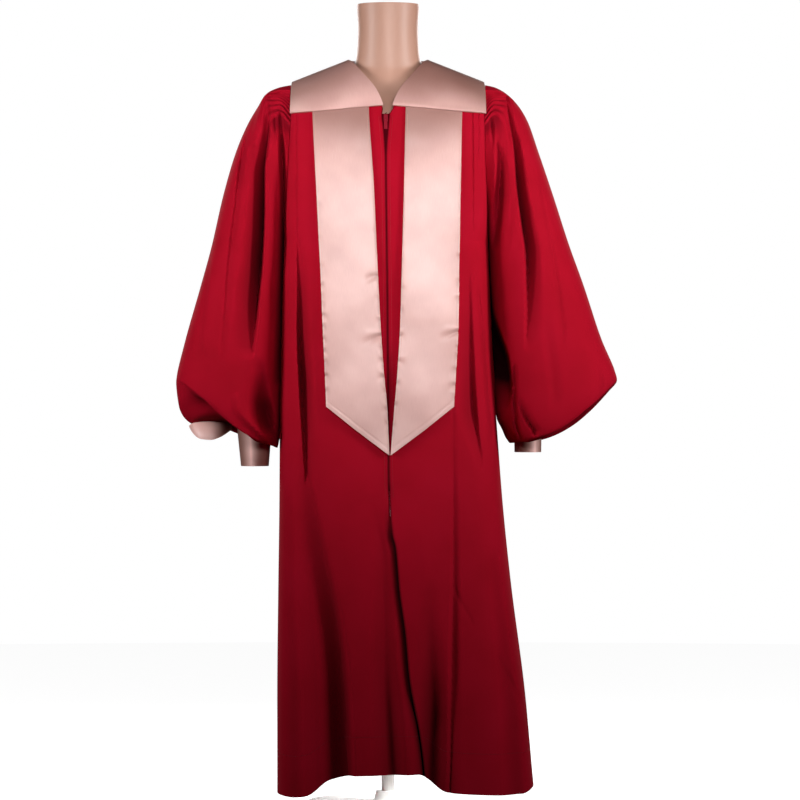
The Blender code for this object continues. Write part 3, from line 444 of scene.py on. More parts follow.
class BodyForm:
    """The smooth shape that the robe's body hangs in: an oval section up to the yoke, and above it the
    shoulders, which lean in to the shoulder line, the neck and the armholes."""

    SEAM = 0.4
    SHOULDER_GAP = 1.3
    HEM_H = 14.0
    LIFT_TOP = 700.0
    ARMPIT_H = 1050.0
    YOKE_H = 1284.0
    SHOULDER_H = 1343.0
    NECK_H = 1386.0
    ARMHOLE_DEPTH = 92.0
    ARMHOLE_LOW_CURVE = 0.85
    SHOULDER_X = 181.0
    NECK_X = 72.0
    NECK_BACK = 67.0

    @classmethod
    def armhole_depth(cls, h: Array | float) -> Array:
        """How far the armhole reaches to front and back.

        Args:
            h: Heights.

        Returns:
            Depths from the side line, 0 at the armpit and at the shoulder.
        """
        middle = (cls.ARMPIT_H + cls.SHOULDER_H) / 2
        half = (cls.SHOULDER_H - cls.ARMPIT_H) / 2
        rise = np.clip((np.asarray(h, float) - middle) / half, -1, 1)
        return cls.ARMHOLE_DEPTH * (1 - rise**2) ** np.where(rise < 0, cls.ARMHOLE_LOW_CURVE, 0.5)

    @classmethod
    def side_edge(cls, h: Array, hand: int) -> Array:
        """Half width of the body at a height, on one side."""
        return BODY.read("right" if hand < 0 else "left", h)

    @classmethod
    def ridge(cls, x: Array, side: int, gap: float) -> tuple[Array, Array]:
        """The shoulder line and the back neckline.

        Args:
            x: Places across the front view.
            side: -1 for the front and 1 for the back.
            gap: Half the gap between the front and the back along the shoulder.

        Returns:
            The line's depths and heights.
        """
        out = np.clip((cls.SHOULDER_X - np.abs(x)) / (cls.SHOULDER_X - cls.NECK_X), 0, 1)
        height = cls.SHOULDER_H + (cls.NECK_H - cls.SHOULDER_H) * out
        if side < 0:
            return np.full_like(height, gap), height
        neck = cls.NECK_BACK * np.sqrt(np.clip(1 - (x / cls.NECK_X) ** 2, 0, 1))
        return np.maximum(neck, gap), height

    @classmethod
    def point(
        cls, x: Array, h: Array, side: int, seam: float = 0.2, gap: float = SHOULDER_GAP
    ) -> Array:
        """The body's smooth surface.

        Args:
            x: Places across the front view.
            h: Heights, before the hem's own curve is added.
            side: -1 for the front and 1 for the back.
            seam: Half the gap at the side seams.
            gap: Depth of the edge along the shoulder.

        Returns:
            Points in millimetres.
        """
        x, h = np.broadcast_arrays(np.asarray(x, float), np.asarray(h, float))
        low = np.minimum(h, cls.YOKE_H)
        edge = np.where(x < 0, cls.side_edge(low, -1), cls.side_edge(low, 1))
        deep = BODY.read("front" if side < 0 else "back", low)
        square = BODY.read("front_square" if side < 0 else "back_square", low)
        edge_y = np.maximum(cls.armhole_depth(low), seam)
        share = np.clip(np.abs(x) / edge, 0, 1)
        y = edge_y + (deep - edge_y) * (1 - share**square) ** (1 / square)
        hem = (FRONT_HEM if side < 0 else BACK_HEM).read("z", x)
        lift = np.clip((cls.LIFT_TOP - low) / (cls.LIFT_TOP - cls.HEM_H), 0, 1)
        z = low + (hem - cls.HEM_H) * lift
        top_y, top_z = cls.ridge(x, side, gap)
        turn = cls.armhole_depth(h) / cls.armhole_depth(cls.YOKE_H)
        climb = (h - cls.YOKE_H) / (cls.SHOULDER_H - cls.YOKE_H)
        over = h > cls.YOKE_H
        y = np.where(over, top_y + (y - top_y) * turn, y)
        z = np.where(over, cls.YOKE_H + (top_z - cls.YOKE_H) * climb, z)
        return np.stack([x, side * y, z], axis=-1)


def grid_normals(grid: Array, closed: bool = False) -> Array:
    """Unit normals of a grid of points.

    Args:
        grid: The points, in rows.
        closed: Whether each row is a ring.

    Returns:
        A normal for each point.
    """
    if closed:
        wrapped = np.concatenate([grid[:, -1:], grid, grid[:, :1]], axis=1)
        along = (wrapped[:, 2:] - wrapped[:, :-2]) / 2
    else:
        along = np.gradient(grid, axis=1)
    across = np.gradient(grid, axis=0)
    normals = np.cross(along, across)
    return normals / np.maximum(np.linalg.norm(normals, axis=-1, keepdims=True), 1e-9)


def outward(grid: Array) -> Array:
    """Normals of a body panel, turned away from the body.

    Args:
        grid: The panel's points.

    Returns:
        A normal for each point.
    """
    normals = grid_normals(grid)
    side = np.sign(np.mean(grid[..., 1]))
    return normals * np.where(normals[..., 1:2] * side < 0, -1, 1)


def split_rows(rows: Iterable[float], step: float) -> Array:
    """Places that keep the given ones and have others between them.

    Args:
        rows: The places to keep, rising.
        step: The widest gap.

    Returns:
        All the places.
    """
    rows = list(rows)
    found = [rows[0]]
    for low, high in zip(rows, rows[1:]):
        count = max(1, math.ceil((high - low) / step))
        found.extend(np.linspace(low, high, count + 1)[1:])
    return np.array(found)


class Patch(NamedTuple):
    """A grid of points in millimetres, closed into rings or not."""

    points: Array
    closed: bool = False
    shade: Array | None = None


def flat_coordinates(patch: Patch) -> Array:
    """Cloth coordinates of a patch's points.

    Args:
        patch: The patch.

    Returns:
        Metres along the rows, from their middle, and up the columns.
    """
    grid = patch.points
    if patch.closed:
        grid = np.concatenate([grid, grid[:, :1]], axis=1)
    steps = np.linalg.norm(np.diff(grid, axis=1), axis=-1)
    u = np.concatenate([np.zeros((len(grid), 1)), np.cumsum(steps, axis=1)], axis=1)
    u = u - u[:, grid.shape[1] // 2 : grid.shape[1] // 2 + 1]
    rise = np.linalg.norm(np.diff(grid, axis=0), axis=-1).mean(axis=1)
    v = np.concatenate([[0.0], np.cumsum(rise)])[:, None]
    return np.stack([u, np.broadcast_to(v, u.shape)], axis=-1) * MM


def shell(
    name: str,
    patches: Iterable[Patch],
    core: tuple[float, float, float],
    thickness: float,
    material: bpy.types.Material,
    off: float = 0.0,
) -> bpy.types.Object:
    """A thin closed cloth shell with cloth coordinates as its UV map.

    Args:
        name: The piece's name.
        patches: The grids that it follows, joined where their points meet.
        core: A point in millimetres that the outer face turns away from.
        thickness: The cloth's thickness in millimetres.
        material: Its finish.
        off: How far the outer face stands off the grids, in millimetres.

    Returns:
        The piece.
    """
    corners, places, uvs, shades = [], [], [], []
    start = 0
    for patch in patches:
        rows, columns = patch.points.shape[:2]
        index = np.arange(rows * columns).reshape(rows, columns) + start
        flat = flat_coordinates(patch)
        if patch.closed:
            index = np.concatenate([index, index[:, :1]], axis=1)
        quads = np.stack([index[:-1, :-1], index[:-1, 1:], index[1:, 1:], index[1:, :-1]], -1)
        corner_uv = np.stack([flat[:-1, :-1], flat[:-1, 1:], flat[1:, 1:], flat[1:, :-1]], -2)
        corners.append(quads.reshape(-1, 4))
        uvs.append(corner_uv.reshape(-1, 4, 2))
        places.append(patch.points.reshape(-1, 3))
        shades.append(np.zeros(rows * columns) if patch.shade is None else patch.shade.reshape(-1))
        start += rows * columns
    points = np.concatenate(places)
    quads = np.concatenate(corners)
    uv = np.concatenate(uvs)
    keys, first, back = np.unique(np.round(points, 3), axis=0, return_index=True, return_inverse=True)
    points, shade = points[first], np.concatenate(shades)[first]
    quads = back.reshape(-1)[quads]
    sides = points[quads]
    face_normals = np.cross(sides[:, 2] - sides[:, 0], sides[:, 3] - sides[:, 1])
    normals = np.zeros_like(points)
    for corner in range(4):
        np.add.at(normals, quads[:, corner], face_normals)
    normals /= np.maximum(np.linalg.norm(normals, axis=1, keepdims=True), 1e-9)
    if np.sum(normals * (points - np.array(core, float))) < 0:
        quads, uv, normals = quads[:, ::-1], uv[:, ::-1], -normals
    count = len(points)
    outer = points + normals * off
    inner = points + normals * (off - thickness)
    edges = np.stack([quads, np.roll(quads, -1, axis=1)], -1).reshape(-1, 2)
    edge_uv = np.stack([uv, np.roll(uv, -1, axis=1)], -2).reshape(-1, 2, 2)
    edge_key = edges[:, 0] * count + edges[:, 1]
    lone = ~np.isin(edge_key, edges[:, 1] * count + edges[:, 0])
    a, b = edges[lone, 0], edges[lone, 1]
    rims = np.stack([b, a, a + count, b + count], -1)
    rim_uv = edge_uv[lone][:, [1, 0, 0, 1]]
    all_quads = np.concatenate([quads, quads[:, ::-1] + count, rims])
    all_uv = np.concatenate([uv, uv[:, ::-1], rim_uv])
    whole = (np.diff(np.sort(all_quads, axis=1), axis=1) > 0).all(axis=1)
    points = np.concatenate([outer, inner])
    piece = mesh_object(name, points, all_quads[whole].tolist(), material, all_uv[whole])
    layer = piece.data.attributes.new("fold_shade", "FLOAT", "POINT")
    layer.data.foreach_set("value", np.concatenate([shade, shade]).astype(np.float32))
    return piece


def add_object(name: str, data: bpy.types.ID) -> bpy.types.Object:
    """Adds an object to the scene.

    Args:
        name: Its name.
        data: Its mesh, light or camera.

    Returns:
        The object.
    """
    thing = bpy.data.objects.new(name, data)
    bpy.context.scene.collection.objects.link(thing)
    return thing


def mesh_object(
    name: str, points: Array, faces: list, material: bpy.types.Material, uv: Array | None = None
) -> bpy.types.Object:
    """An object from points in millimetres and faces, shaded smooth up to SHARP_DEGREES.

    Args:
        name: The piece's name.
        points: Its points.
        faces: Its faces, as lists of point numbers, pointing out.
        material: Its finish.
        uv: Coordinates in metres for each corner of each face.

    Returns:
        The object.
    """
    mesh = bpy.data.meshes.new(name)
    mesh.from_pydata((points * MM).tolist(), [], faces)
    if uv is not None:
        layer = mesh.uv_layers.new(name="cloth")
        layer.data.foreach_set("uv", uv.reshape(-1).astype(np.float32))
    mesh.materials.append(material)
    mesh.shade_smooth()
    mesh.set_sharp_from_angle(angle=math.radians(SHARP_DEGREES))
    return add_object(name, mesh)


def srgb(code: str) -> tuple[float, float, float, float]:
    """A hex colour in linear light.

    Args:
        code: Six hex digits after a hash, in sRGB.

    Returns:
        Red, green, blue and an alpha of 1.
    """
    values = [int(code[i : i + 2], 16) / 255 for i in (1, 3, 5)]
    linear = [v / 12.92 if v <= 0.04045 else ((v + 0.055) / 1.055) ** 2.4 for v in values]
    return (*linear, 1.0)


def add_node(
    tree: bpy.types.NodeTree,
    kind: str,
    settings: dict | None = None,
    links: dict | None = None,
    stops: dict[float, str] | None = None,
) -> bpy.types.Node:
    """Adds a node.

    Args:
        tree: The node tree.
        kind: The node's type.
        settings: Properties by name, or input values by name or number.
        links: Sockets to link, by the input's name or number.
        stops: A colour ramp's hex colours, by their places from 0 to 1.

    Returns:
        The node.
    """
    node = tree.nodes.new(kind)
    for name, value in (settings or {}).items():
        if isinstance(name, str) and hasattr(node, name):
            setattr(node, name, value)
        else:
            node.inputs[name].default_value = value
    for name, socket in (links or {}).items():
        tree.links.new(socket, node.inputs[name])
    for number, (place, code) in enumerate((stops or {}).items()):
        elements = node.color_ramp.elements
        stop = elements[number] if number < len(elements) else elements.new(place)
        stop.position, stop.color = place, srgb(code)
    return node


def new_material(name: str) -> tuple[bpy.types.Material, bpy.types.NodeTree, bpy.types.Node]:
    """A material with its shader.

    Args:
        name: The material's name.

    Returns:
        The material, its node tree and its shader node.
    """
    material = bpy.data.materials.new(name)
    material.use_nodes = True
    tree = material.node_tree
    return material, tree, tree.nodes["Principled BSDF"]


@dataclass(frozen=True)
class Cloth:
    """A woven cloth. A pattern is its features in a metre of cloth, with the noise's detail, and a
    relief is its strength and its height in metres."""

    name: str
    colours: tuple[str, str, str]
    stops: tuple[float, float, float]
    # The colour that the painted shade turns the cloth towards, in folds, gaps and hollows.
    shut: str
    cloud: tuple[float, float]
    threads: tuple[float, float]
    thread_share: float
    relief: tuple[float, float]
    soft: tuple[float, float]
    swell: tuple[float, float]
    roughness: float
    specular: float
    sheen: tuple[float, float]
    tint: str
    anisotropic: float = 0.0
    rib_share: float = 0.0
    rib_mm: float = 2.2
    rib_way: tuple[float, float] = (0.8, 0.6)

    def build(self) -> bpy.types.Material:
        """Builds the material, on the piece's cloth coordinates and the painted shade kept in its points,
        which turns the colour towards the shut one and, below 0, paints light.

        Returns:
            The material.
        """
        material, tree, shader = new_material(self.name)
        uv = add_node(tree, "ShaderNodeUVMap", {"uv_map": "cloth"})
        place = add_node(tree, "ShaderNodeTexCoord")
        stretch = add_node(
            tree, "ShaderNodeMapping", {"Scale": (*self.threads, 1.0)}, {"Vector": uv.outputs["UV"]}
        )
        threads = add_node(
            tree, "ShaderNodeTexNoise", {"Scale": 1.0, "Detail": 2.0},
            {"Vector": stretch.outputs["Vector"]},
        )
        cloud, soft = (
            add_node(
                tree, "ShaderNodeTexNoise", {"Scale": scale, "Detail": detail},
                {"Vector": place.outputs["Object"]},
            )
            for scale, detail in (self.cloud, self.soft)
        )
        blend = add_node(
            tree, "ShaderNodeMath", {"operation": "MULTIPLY_ADD", 1: self.thread_share},
            {0: threads.outputs["Fac"], 2: cloud.outputs["Fac"]},
        )
        ground = add_node(
            tree, "ShaderNodeValToRGB", {}, {"Fac": blend.outputs[0]}, dict(zip(self.stops, self.colours))
        )
        fold = add_node(tree, "ShaderNodeAttribute", {"attribute_name": "fold_shade"})
        shaded = add_node(
            tree, "ShaderNodeMix", {"data_type": "RGBA", "clamp_factor": False, 7: srgb(self.shut)},
            {0: fold.outputs["Fac"], 6: ground.outputs["Color"]},
        )
        tree.links.new(shaded.outputs[2], shader.inputs["Base Color"])
        turns = 2 * math.pi / (self.rib_mm * MM)
        across = tuple(share * turns for share in self.rib_way)
        diagonal = add_node(
            tree, "ShaderNodeVectorMath", {"operation": "DOT_PRODUCT", 1: (*across, 0)},
            {0: uv.outputs["UV"]},
        )
        rib = add_node(tree, "ShaderNodeMath", {"operation": "SINE"}, {0: diagonal.outputs["Value"]})
        height = add_node(
            tree, "ShaderNodeMath", {"operation": "MULTIPLY_ADD", 1: self.rib_share},
            {0: rib.outputs[0], 2: threads.outputs["Fac"]},
        )
        bump = add_node(
            tree, "ShaderNodeBump", {"Strength": self.relief[0], "Distance": self.relief[1]},
            {"Height": height.outputs[0]},
        )
        swell = add_node(
            tree, "ShaderNodeBump", {"Strength": self.swell[0], "Distance": self.swell[1]},
            {"Height": soft.outputs["Fac"], "Normal": bump.outputs["Normal"]},
        )
        tree.links.new(swell.outputs["Normal"], shader.inputs["Normal"])
        shader.inputs["Roughness"].default_value = self.roughness
        shader.inputs["Specular IOR Level"].default_value = self.specular
        shader.inputs["Anisotropic"].default_value = self.anisotropic
        shader.inputs["Sheen Weight"].default_value = self.sheen[0]
        shader.inputs["Sheen Roughness"].default_value = self.sheen[1]
        shader.inputs["Sheen Tint"].default_value = srgb(self.tint)
        return material


@dataclass(frozen=True)
class Plain:
    """A hard or spun finish in one colour, a little paler where it is worn, with fine grain in its
    gloss. The grain is its features in a metre."""

    name: str
    colour: str
    worn: str
    roughness: float
    bump: float = 0.05
    specular: float = 0.5
    cloud: tuple[float, float] = (7.0, 3.0)
    grain: tuple[float, float] = (220.0, 2.0)
    grain_height: float = 0.0003
    drift: tuple[float, float] = (-0.05, 0.08)

    def build(self) -> bpy.types.Material:
        """Builds the material, on Object coordinates.

        Returns:
            The material.
        """
        material, tree, shader = new_material(self.name)
        place = add_node(tree, "ShaderNodeTexCoord")
        cloud, grain = (
            add_node(
                tree, "ShaderNodeTexNoise", {"Scale": scale, "Detail": detail},
                {"Vector": place.outputs["Object"]},
            )
            for scale, detail in (self.cloud, self.grain)
        )
        ground = add_node(
            tree, "ShaderNodeValToRGB", {}, {"Fac": cloud.outputs["Fac"]},
            {0.35: self.colour, 0.75: self.worn},
        )
        tree.links.new(ground.outputs["Color"], shader.inputs["Base Color"])
        low, high = (self.roughness + drift for drift in self.drift)
        rough = add_node(
            tree, "ShaderNodeMapRange", {"To Min": low, "To Max": high}, {"Value": cloud.outputs["Fac"]}
        )
        tree.links.new(rough.outputs["Result"], shader.inputs["Roughness"])
        bump = add_node(
            tree, "ShaderNodeBump", {"Strength": self.bump, "Distance": self.grain_height},
            {"Height": grain.outputs["Fac"]},
        )
        tree.links.new(bump.outputs["Normal"], shader.inputs["Normal"])
        shader.inputs["Specular IOR Level"].default_value = self.specular
        return material


# Dyed polyester gaberdine, woven in a fine diagonal twill: a matte, even colour, a little lighter
# where the nap turns to the light. The real ribs are 0.4 mm apart, too fine to show, so they are
# drawn 2.2 mm apart.
TWILL = Cloth(
    "polyester_twill", ("#99061C", "#A0071F", "#A50923"), (0.45, 0.68, 0.95), "#240004",
    cloud=(9.0, 3.0), threads=(420.0, 420.0), thread_share=0.35, relief=(0.18, 0.0004),
    soft=(26.0, 2.0), swell=(0.2, 0.0012), roughness=0.85, specular=0.06, sheen=(0.03, 0.4),
    tint="#E03048", rib_share=0.25,
)
# Close woven polyester tape: darker than the twill and with no gloss.
TAPE = replace(
    TWILL, name="woven_zip_tape", colours=("#42020A", "#4A030C", "#52050F"), rib_mm=1.6, specular=0.0
)
# Rose gold polyester satin: its long warp floats give broad soft highlights that run across the
# light. The floats are drawn 1.1 mm apart, because real ones are too fine to show.
SATIN = Cloth(
    "polyester_satin", ("#CA9D96", "#D0A39C", "#D5AAA3"), (0.5, 0.75, 1.0), "#6A3C2C",
    cloud=(20.0, 1.0), threads=(900.0, 60.0), thread_share=0.5, relief=(0.12, 0.0003),
    soft=(20.0, 1.0), swell=(0.45, 0.0022), roughness=0.38, specular=0.5, sheen=(0.05, 0.3),
    tint="#FBE3DC", anisotropic=0.4,
)
# Die-cast zinc under red enamel: smooth, with hardly any highlight at its size.
ZINC = Plain("enamelled_zinc", "#7C0B1D", "#96162B", 0.5, specular=0.05)
# Moulded plastic skin of the form: satin, even and warm.
SKIN = Plain("moulded_plastic_skin", "#B48774", "#BA8D7A", 0.45)
# Moulded nylon teeth: dark and dull between the edges of the fronts.
NYLON = Plain("nylon_teeth", "#4A040D", "#560712", 0.7, specular=0.02)
# Spun polyester thread, a shade darker than the cloth that it lies in.
RED_THREAD = Plain("polyester_thread_red", "#7A0718", "#86091C", 0.8)
ROSE_THREAD = Plain("polyester_thread_rose", "#C9968A", "#D3A296", 0.5)
# White powder coat on steel: a fine orange-peel grain in a soft gloss.
WHITE = Plain("white_powder_coat", "#E6E6E4", "#DEDEDC", 0.42, bump=0.2)


@dataclass
class Finishes:
    """Every finish of the part, built once."""

    twill: bpy.types.Material = field(default_factory=TWILL.build)
    satin: bpy.types.Material = field(default_factory=SATIN.build)
    tape: bpy.types.Material = field(default_factory=TAPE.build)
    zinc: bpy.types.Material = field(default_factory=ZINC.build)
    skin: bpy.types.Material = field(default_factory=SKIN.build)
    nylon: bpy.types.Material = field(default_factory=NYLON.build)
    red_thread: bpy.types.Material = field(default_factory=RED_THREAD.build)
    rose_thread: bpy.types.Material = field(default_factory=ROSE_THREAD.build)
    white: bpy.types.Material = field(default_factory=WHITE.build)


def refinish(names: Iterable[str], material: bpy.types.Material) -> None:
    """Gives a finish to CAD nodes that are shown as they are.

    Args:
        names: The nodes.
        material: Their finish.
    """
    for name in names:
        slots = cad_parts[name].data.materials
        slots.clear()
        slots.append(material)


def keep(piece: bpy.types.Object, slot: str, *nodes: str) -> bpy.types.Object:
    """Ties a piece to the robe's body and hides the nodes that it stands for.

    Args:
        piece: The piece.
        slot: The record's material slot; not used.
        nodes: The nodes that it replaces.

    Returns:
        The piece.
    """
    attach(piece, ROBE)
    if nodes:
        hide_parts(*nodes)
    LOG.info("%s: %d faces on %s", piece.name, len(piece.data.polygons), ROBE)
    return piece


@dataclass(frozen=True)
class Row:
    """A row of one small solid, repeated along lines by Geometry Nodes."""

    kind: str
    size: dict
    spacing: float

    def group(self) -> bpy.types.NodeTree:
        """Builds the node group: lines in, solids out, turned along the lines.

        Returns:
            The group.
        """
        tree = bpy.data.node_groups.new(f"row_{self.kind}", "GeometryNodeTree")
        face = tree.interface
        face.new_socket(name="Lines", in_out="INPUT", socket_type="NodeSocketGeometry")
        face.new_socket(name="Spacing", in_out="INPUT", socket_type="NodeSocketFloat")
        face.new_socket(name="Finish", in_out="INPUT", socket_type="NodeSocketMaterial")
        face.new_socket(name="Row", in_out="OUTPUT", socket_type="NodeSocketGeometry")
        start = add_node(tree, "NodeGroupInput")
        curve = add_node(tree, "GeometryNodeMeshToCurve", {}, {"Mesh": start.outputs["Lines"]})
        even = add_node(
            tree, "GeometryNodeResampleCurve", {"mode": "LENGTH"},
            {"Curve": curve.outputs["Curve"], "Length": start.outputs["Spacing"]},
        )
        tangent = add_node(tree, "GeometryNodeInputTangent")
        turn = add_node(
            tree, "FunctionNodeAlignRotationToVector", {"axis": "Z"},
            {"Vector": tangent.outputs["Tangent"]},
        )
        solid = add_node(tree, self.kind, self.size)
        placed = add_node(
            tree, "GeometryNodeInstanceOnPoints", {},
            {
                "Points": even.outputs["Curve"],
                "Instance": solid.outputs["Mesh"],
                "Rotation": turn.outputs["Rotation"],
            },
        )
        real = add_node(
            tree, "GeometryNodeRealizeInstances", {}, {"Geometry": placed.outputs["Instances"]}
        )
        done = add_node(
            tree, "GeometryNodeSetMaterial", {},
            {"Geometry": real.outputs["Geometry"], "Material": start.outputs["Finish"]},
        )
        add_node(tree, "NodeGroupOutput", {}, {"Row": done.outputs["Geometry"]})
        return tree

    def along(
        self, name: str, lines: Iterable[Array], finish: bpy.types.Material, slot: str
    ) -> bpy.types.Object:
        """Builds the row along lines of points.

        Args:
            name: The piece's name.
            lines: Lines of points in millimetres.
            finish: Its finish.
            slot: The record's material slot.

        Returns:
            The row as a plain mesh.
        """
        points, edges = [], []
        for line in lines:
            first = len(points)
            points.extend((np.asarray(line) * MM).tolist())
            edges.extend((i, i + 1) for i in range(first, len(points) - 1))
        mesh = bpy.data.meshes.new(f"{name}_lines")
        mesh.from_pydata(points, edges, [])
        thing = add_object(name, mesh)
        modifier = thing.modifiers.new("row", "NODES")
        tree = self.group()
        modifier.node_group = tree
        items = tree.interface.items_tree
        sockets = {item.name: item.identifier for item in items if item.in_out == "INPUT"}
        modifier[sockets["Spacing"]] = self.spacing * MM
        modifier[sockets["Finish"]] = finish
        depsgraph = bpy.context.evaluated_depsgraph_get()
        plain = bpy.data.meshes.new_from_object(thing.evaluated_get(depsgraph))
        thing.modifiers.remove(modifier)
        plain.name = name
        thing.data = plain
        return keep(thing, slot)


# A stitch is 2 mm of thread, every 2.7 mm, and a tooth is 2.4 mm across the zip, every 2.2 mm.
STITCH = Row("GeometryNodeMeshCylinder", {"Vertices": 6, "Radius": 0.00022, "Depth": 0.002}, 2.7)
TOOTH = Row("GeometryNodeMeshCube", {"Size": (0.0024, 0.0012, 0.0012)}, 2.2)


@dataclass
class RobeBody:
    """The two fronts and the back."""

    finish: bpy.types.Material
    thread: bpy.types.Material
    thickness: float = 1.5
    # Heights that a row of points keeps: the skirt and chest, the armhole and the neck.
    row_step: float = 6.5
    rows: tuple[float, ...] = (
        14, 70, 130, 200, 280, 360, 440, 492, 560, 640, 730, 820, 900, 980, 1049.8,
    )
    armhole_rows: tuple[float, ...] = (1050.2, 1054, 1066, 1095, 1150, 1220, 1284)
    collar_rows: tuple[float, ...] = (1306, 1326, 1338, 1343)
    front_columns: int = 120
    column_crowd: float = 0.92
    side_still: float = 0.97
    neck_ease: float = 1.5
    # The left front over the right one, below the zip.
    overlap_top: float = 560.0
    overlap_full: float = 478.0
    overlap_reach: float = 90.0
    overlap_lift: float = 4.5
    under_shade: float = 16.0
    # The painted shade along the gap beside the zip, and the rows of stitches.
    lip_shade: float = 0.8
    lip_wide: float = 1.6
    hem_line: float = 77.0
    zip_line: float = 7.0
    zip_line_end: float = 4.0
    thread_off: float = 0.15
    # The flutes of the back.
    flutes: int = 14
    flute_steps: int = 6
    flute_top: float = 2.5
    flute_hem: float = 16.0
    flute_fade: float = 30.0
    flute_from: float = 0.12
    flute_full: float = 0.5
    flute_shade: float = 1.6
    flute_lit: float = 0.1
    core: tuple[float, float, float] = (0, 0, 700)
    grids: list[Array] = field(default_factory=list)

    def heights(self) -> Array:
        """Heights of the rows, as a column."""
        return split_rows(self.rows + self.armhole_rows + self.collar_rows, self.row_step)[:, None]

    def front_inner(self, h: Array, hand: Hand) -> Array:
        """Inner edge of a front: the right one passes under the left one below the zip.

        Args:
            h: Heights.
            hand: The front's side.

        Returns:
            The edge's places across the front view.
        """
        crossing = CLOSURE.read("under" if hand is Hand.RIGHT else "over", h)
        above = h > BodyForm.YOKE_H
        neck = np.where(above, NECKLINE.read("x", h) + self.neck_ease, CLOSURE.read("lip", h))
        middle = np.where(above, 0, CLOSURE.read("line", h))
        return middle + crossing + hand.value * neck

    def front_grid(self, hand: Hand) -> Patch:
        """A front panel's points, with its folds and creases.

        Args:
            hand: The front's side.

        Returns:
            The panel.
        """
        rows = self.heights()
        share = np.sin(np.linspace(0, math.pi / 2, self.front_columns))[None, :] ** self.column_crowd
        inner = self.front_inner(rows, hand)
        x = inner + (hand.value * BodyForm.side_edge(rows, hand.value) - inner) * share
        grid = BodyForm.point(x, rows, Face.FRONT.value)
        lift, shade = fold_height(grid, BODY_FOLDS, Face.FRONT.value)
        lift *= 1 - ease(share, self.side_still, 1.0)
        lip = hand.value * (x - inner)
        # Painted shade along each front's inner edge, where the zip's gap lies in shade.
        shade = np.maximum(shade, self.lip_shade * (1 - ease(lip, 0, self.lip_wide)))
        if hand is Hand.LEFT:
            near = 1 - ease(x - inner, self.overlap_reach / 2, self.overlap_reach)
            lift += self.overlap_lift * near * ease(rows, self.overlap_top, self.overlap_full)
        else:
            past = x - CLOSURE.read("line", rows) - CLOSURE.read("over", rows)
            under = ease(past, -self.under_shade, 0) * ease(rows, self.overlap_top, self.overlap_full)
            shade = np.maximum(shade, under)
        return Patch(grid + np.stack([0 * lift, -lift, 0 * lift], -1), False, shade)

    def back_grid(self) -> Patch:
        """The back panel's points, fluted from under the collar to the hem.

        Returns:
            The panel.
        """
        rows = self.heights()
        count = 2 * self.flutes + 2
        turns = np.linspace(0, math.pi, count * self.flute_steps + 1)[None, :]
        swing = np.cos(turns)
        edge = np.where(swing < 0, BodyForm.side_edge(rows, -1), BodyForm.side_edge(rows, 1))
        grid = BodyForm.point(swing * edge, rows, Face.BACK.value)
        flute = np.cos(turns * count) * ease(np.sin(turns), self.flute_from, self.flute_full)
        top, hem = BodyForm.YOKE_H, BodyForm.HEM_H
        tall = self.flute_top + (self.flute_hem - self.flute_top) * ease(rows, top, hem)
        tall = tall - self.flute_top * ease(rows, top - self.flute_fade, top + self.flute_fade)
        deep = np.clip(self.flute_shade * tall / SHADE_DEPTH, 0, 1)
        shade = ease(-flute, self.flute_lit, 1.0) * deep
        return Patch(grid + outward(grid) * (tall * flute)[..., None], False, shade)

    def panel(self, name: str, patch: Patch) -> bpy.types.Object:
        """A panel of cloth, kept for its sewing.

        Args:
            name: Its node.
            patch: Its points.

        Returns:
            The piece.
        """
        piece = shell(f"{name}_cloth", [patch], self.core, self.thickness, self.finish)
        self.grids.append(patch.points)
        keep(piece, "red_twill", name)
        return piece

    def hem_row(self, grid: Array) -> Array:
        """The line of a panel at the hem's depth, just off the cloth.

        Args:
            grid: The panel's points.

        Returns:
            The line's points.
        """
        heights = self.heights()[:, 0]
        place = np.interp(BodyForm.HEM_H + self.hem_line, heights, np.arange(heights.size))
        low = int(place)
        line = grid[low] + (grid[low + 1] - grid[low]) * (place - low)
        return line + outward(grid)[low] * self.thread_off

    def sewing(self) -> None:
        """The hem's blind row all round and a row beside each edge of the zip."""
        hems = [self.hem_row(grid)[2:-2] for grid in self.grids]
        STITCH.along("hem_stitches", hems, self.thread, "red_twill")
        rows = self.heights()[:, 0]
        rows = rows[(rows > self.overlap_top) & (rows < BodyForm.YOKE_H - self.zip_line_end)]
        sides = []
        for hand in Hand:
            from_zip = CLOSURE.read("lip", rows) + self.zip_line
            x = CLOSURE.read("line", rows) + hand.value * from_zip
            line = BodyForm.point(x, rows, Face.FRONT.value)
            sides.append(line - np.array([0, self.thread_off, 0]))
        STITCH.along("zip_stitches", sides, self.thread, "red_twill")

    def build(self) -> None:
        """Builds the three panels and their sewing."""
        for hand in Hand:
            self.panel(f"front_{hand.word}", self.front_grid(hand))
        self.panel("back", self.back_grid())
        self.sewing()


@dataclass
class CuffSize:
    """A cuff's middle, half widths, half depth and heights, how far its top leans to the side, and where
    round it the painted highlight lies, in degrees."""

    x: float
    y: float
    wide_top: float
    wide_low: float
    deep: float
    z_low: float
    z_top: float
    shift: float
    light: float

    def row(self, share: float, grow: float) -> tuple[float, float, float, float, float]:
        """The cuff's oval at one height.

        Args:
            share: The share of its height.
            grow: How much larger the oval is.

        Returns:
            Its centre's X and Y, half width, half depth and height.
        """
        wide = self.wide_low + (self.wide_top - self.wide_low) * share + grow
        height = self.z_low + (self.z_top - self.z_low) * share
        return self.x + self.shift * (0.5 - share), self.y, wide, self.deep + grow, height


CUFFS = {
    Hand.RIGHT: CuffSize(-249.5, 4.0, 33.5, 26.0, 42.0, 631.0, 714.0, 1.0, 258.0),
    Hand.LEFT: CuffSize(261.5, 4.0, 26.0, 25.0, 43.0, 657.0, 716.0, 0.0, 300.0),
}
# The heights between which each sleeve's inner side closes up to the body, in millimetres.
SHUT_HEIGHTS = {Hand.RIGHT: (650.0, 690.0), Hand.LEFT: (700.0, 725.0)}


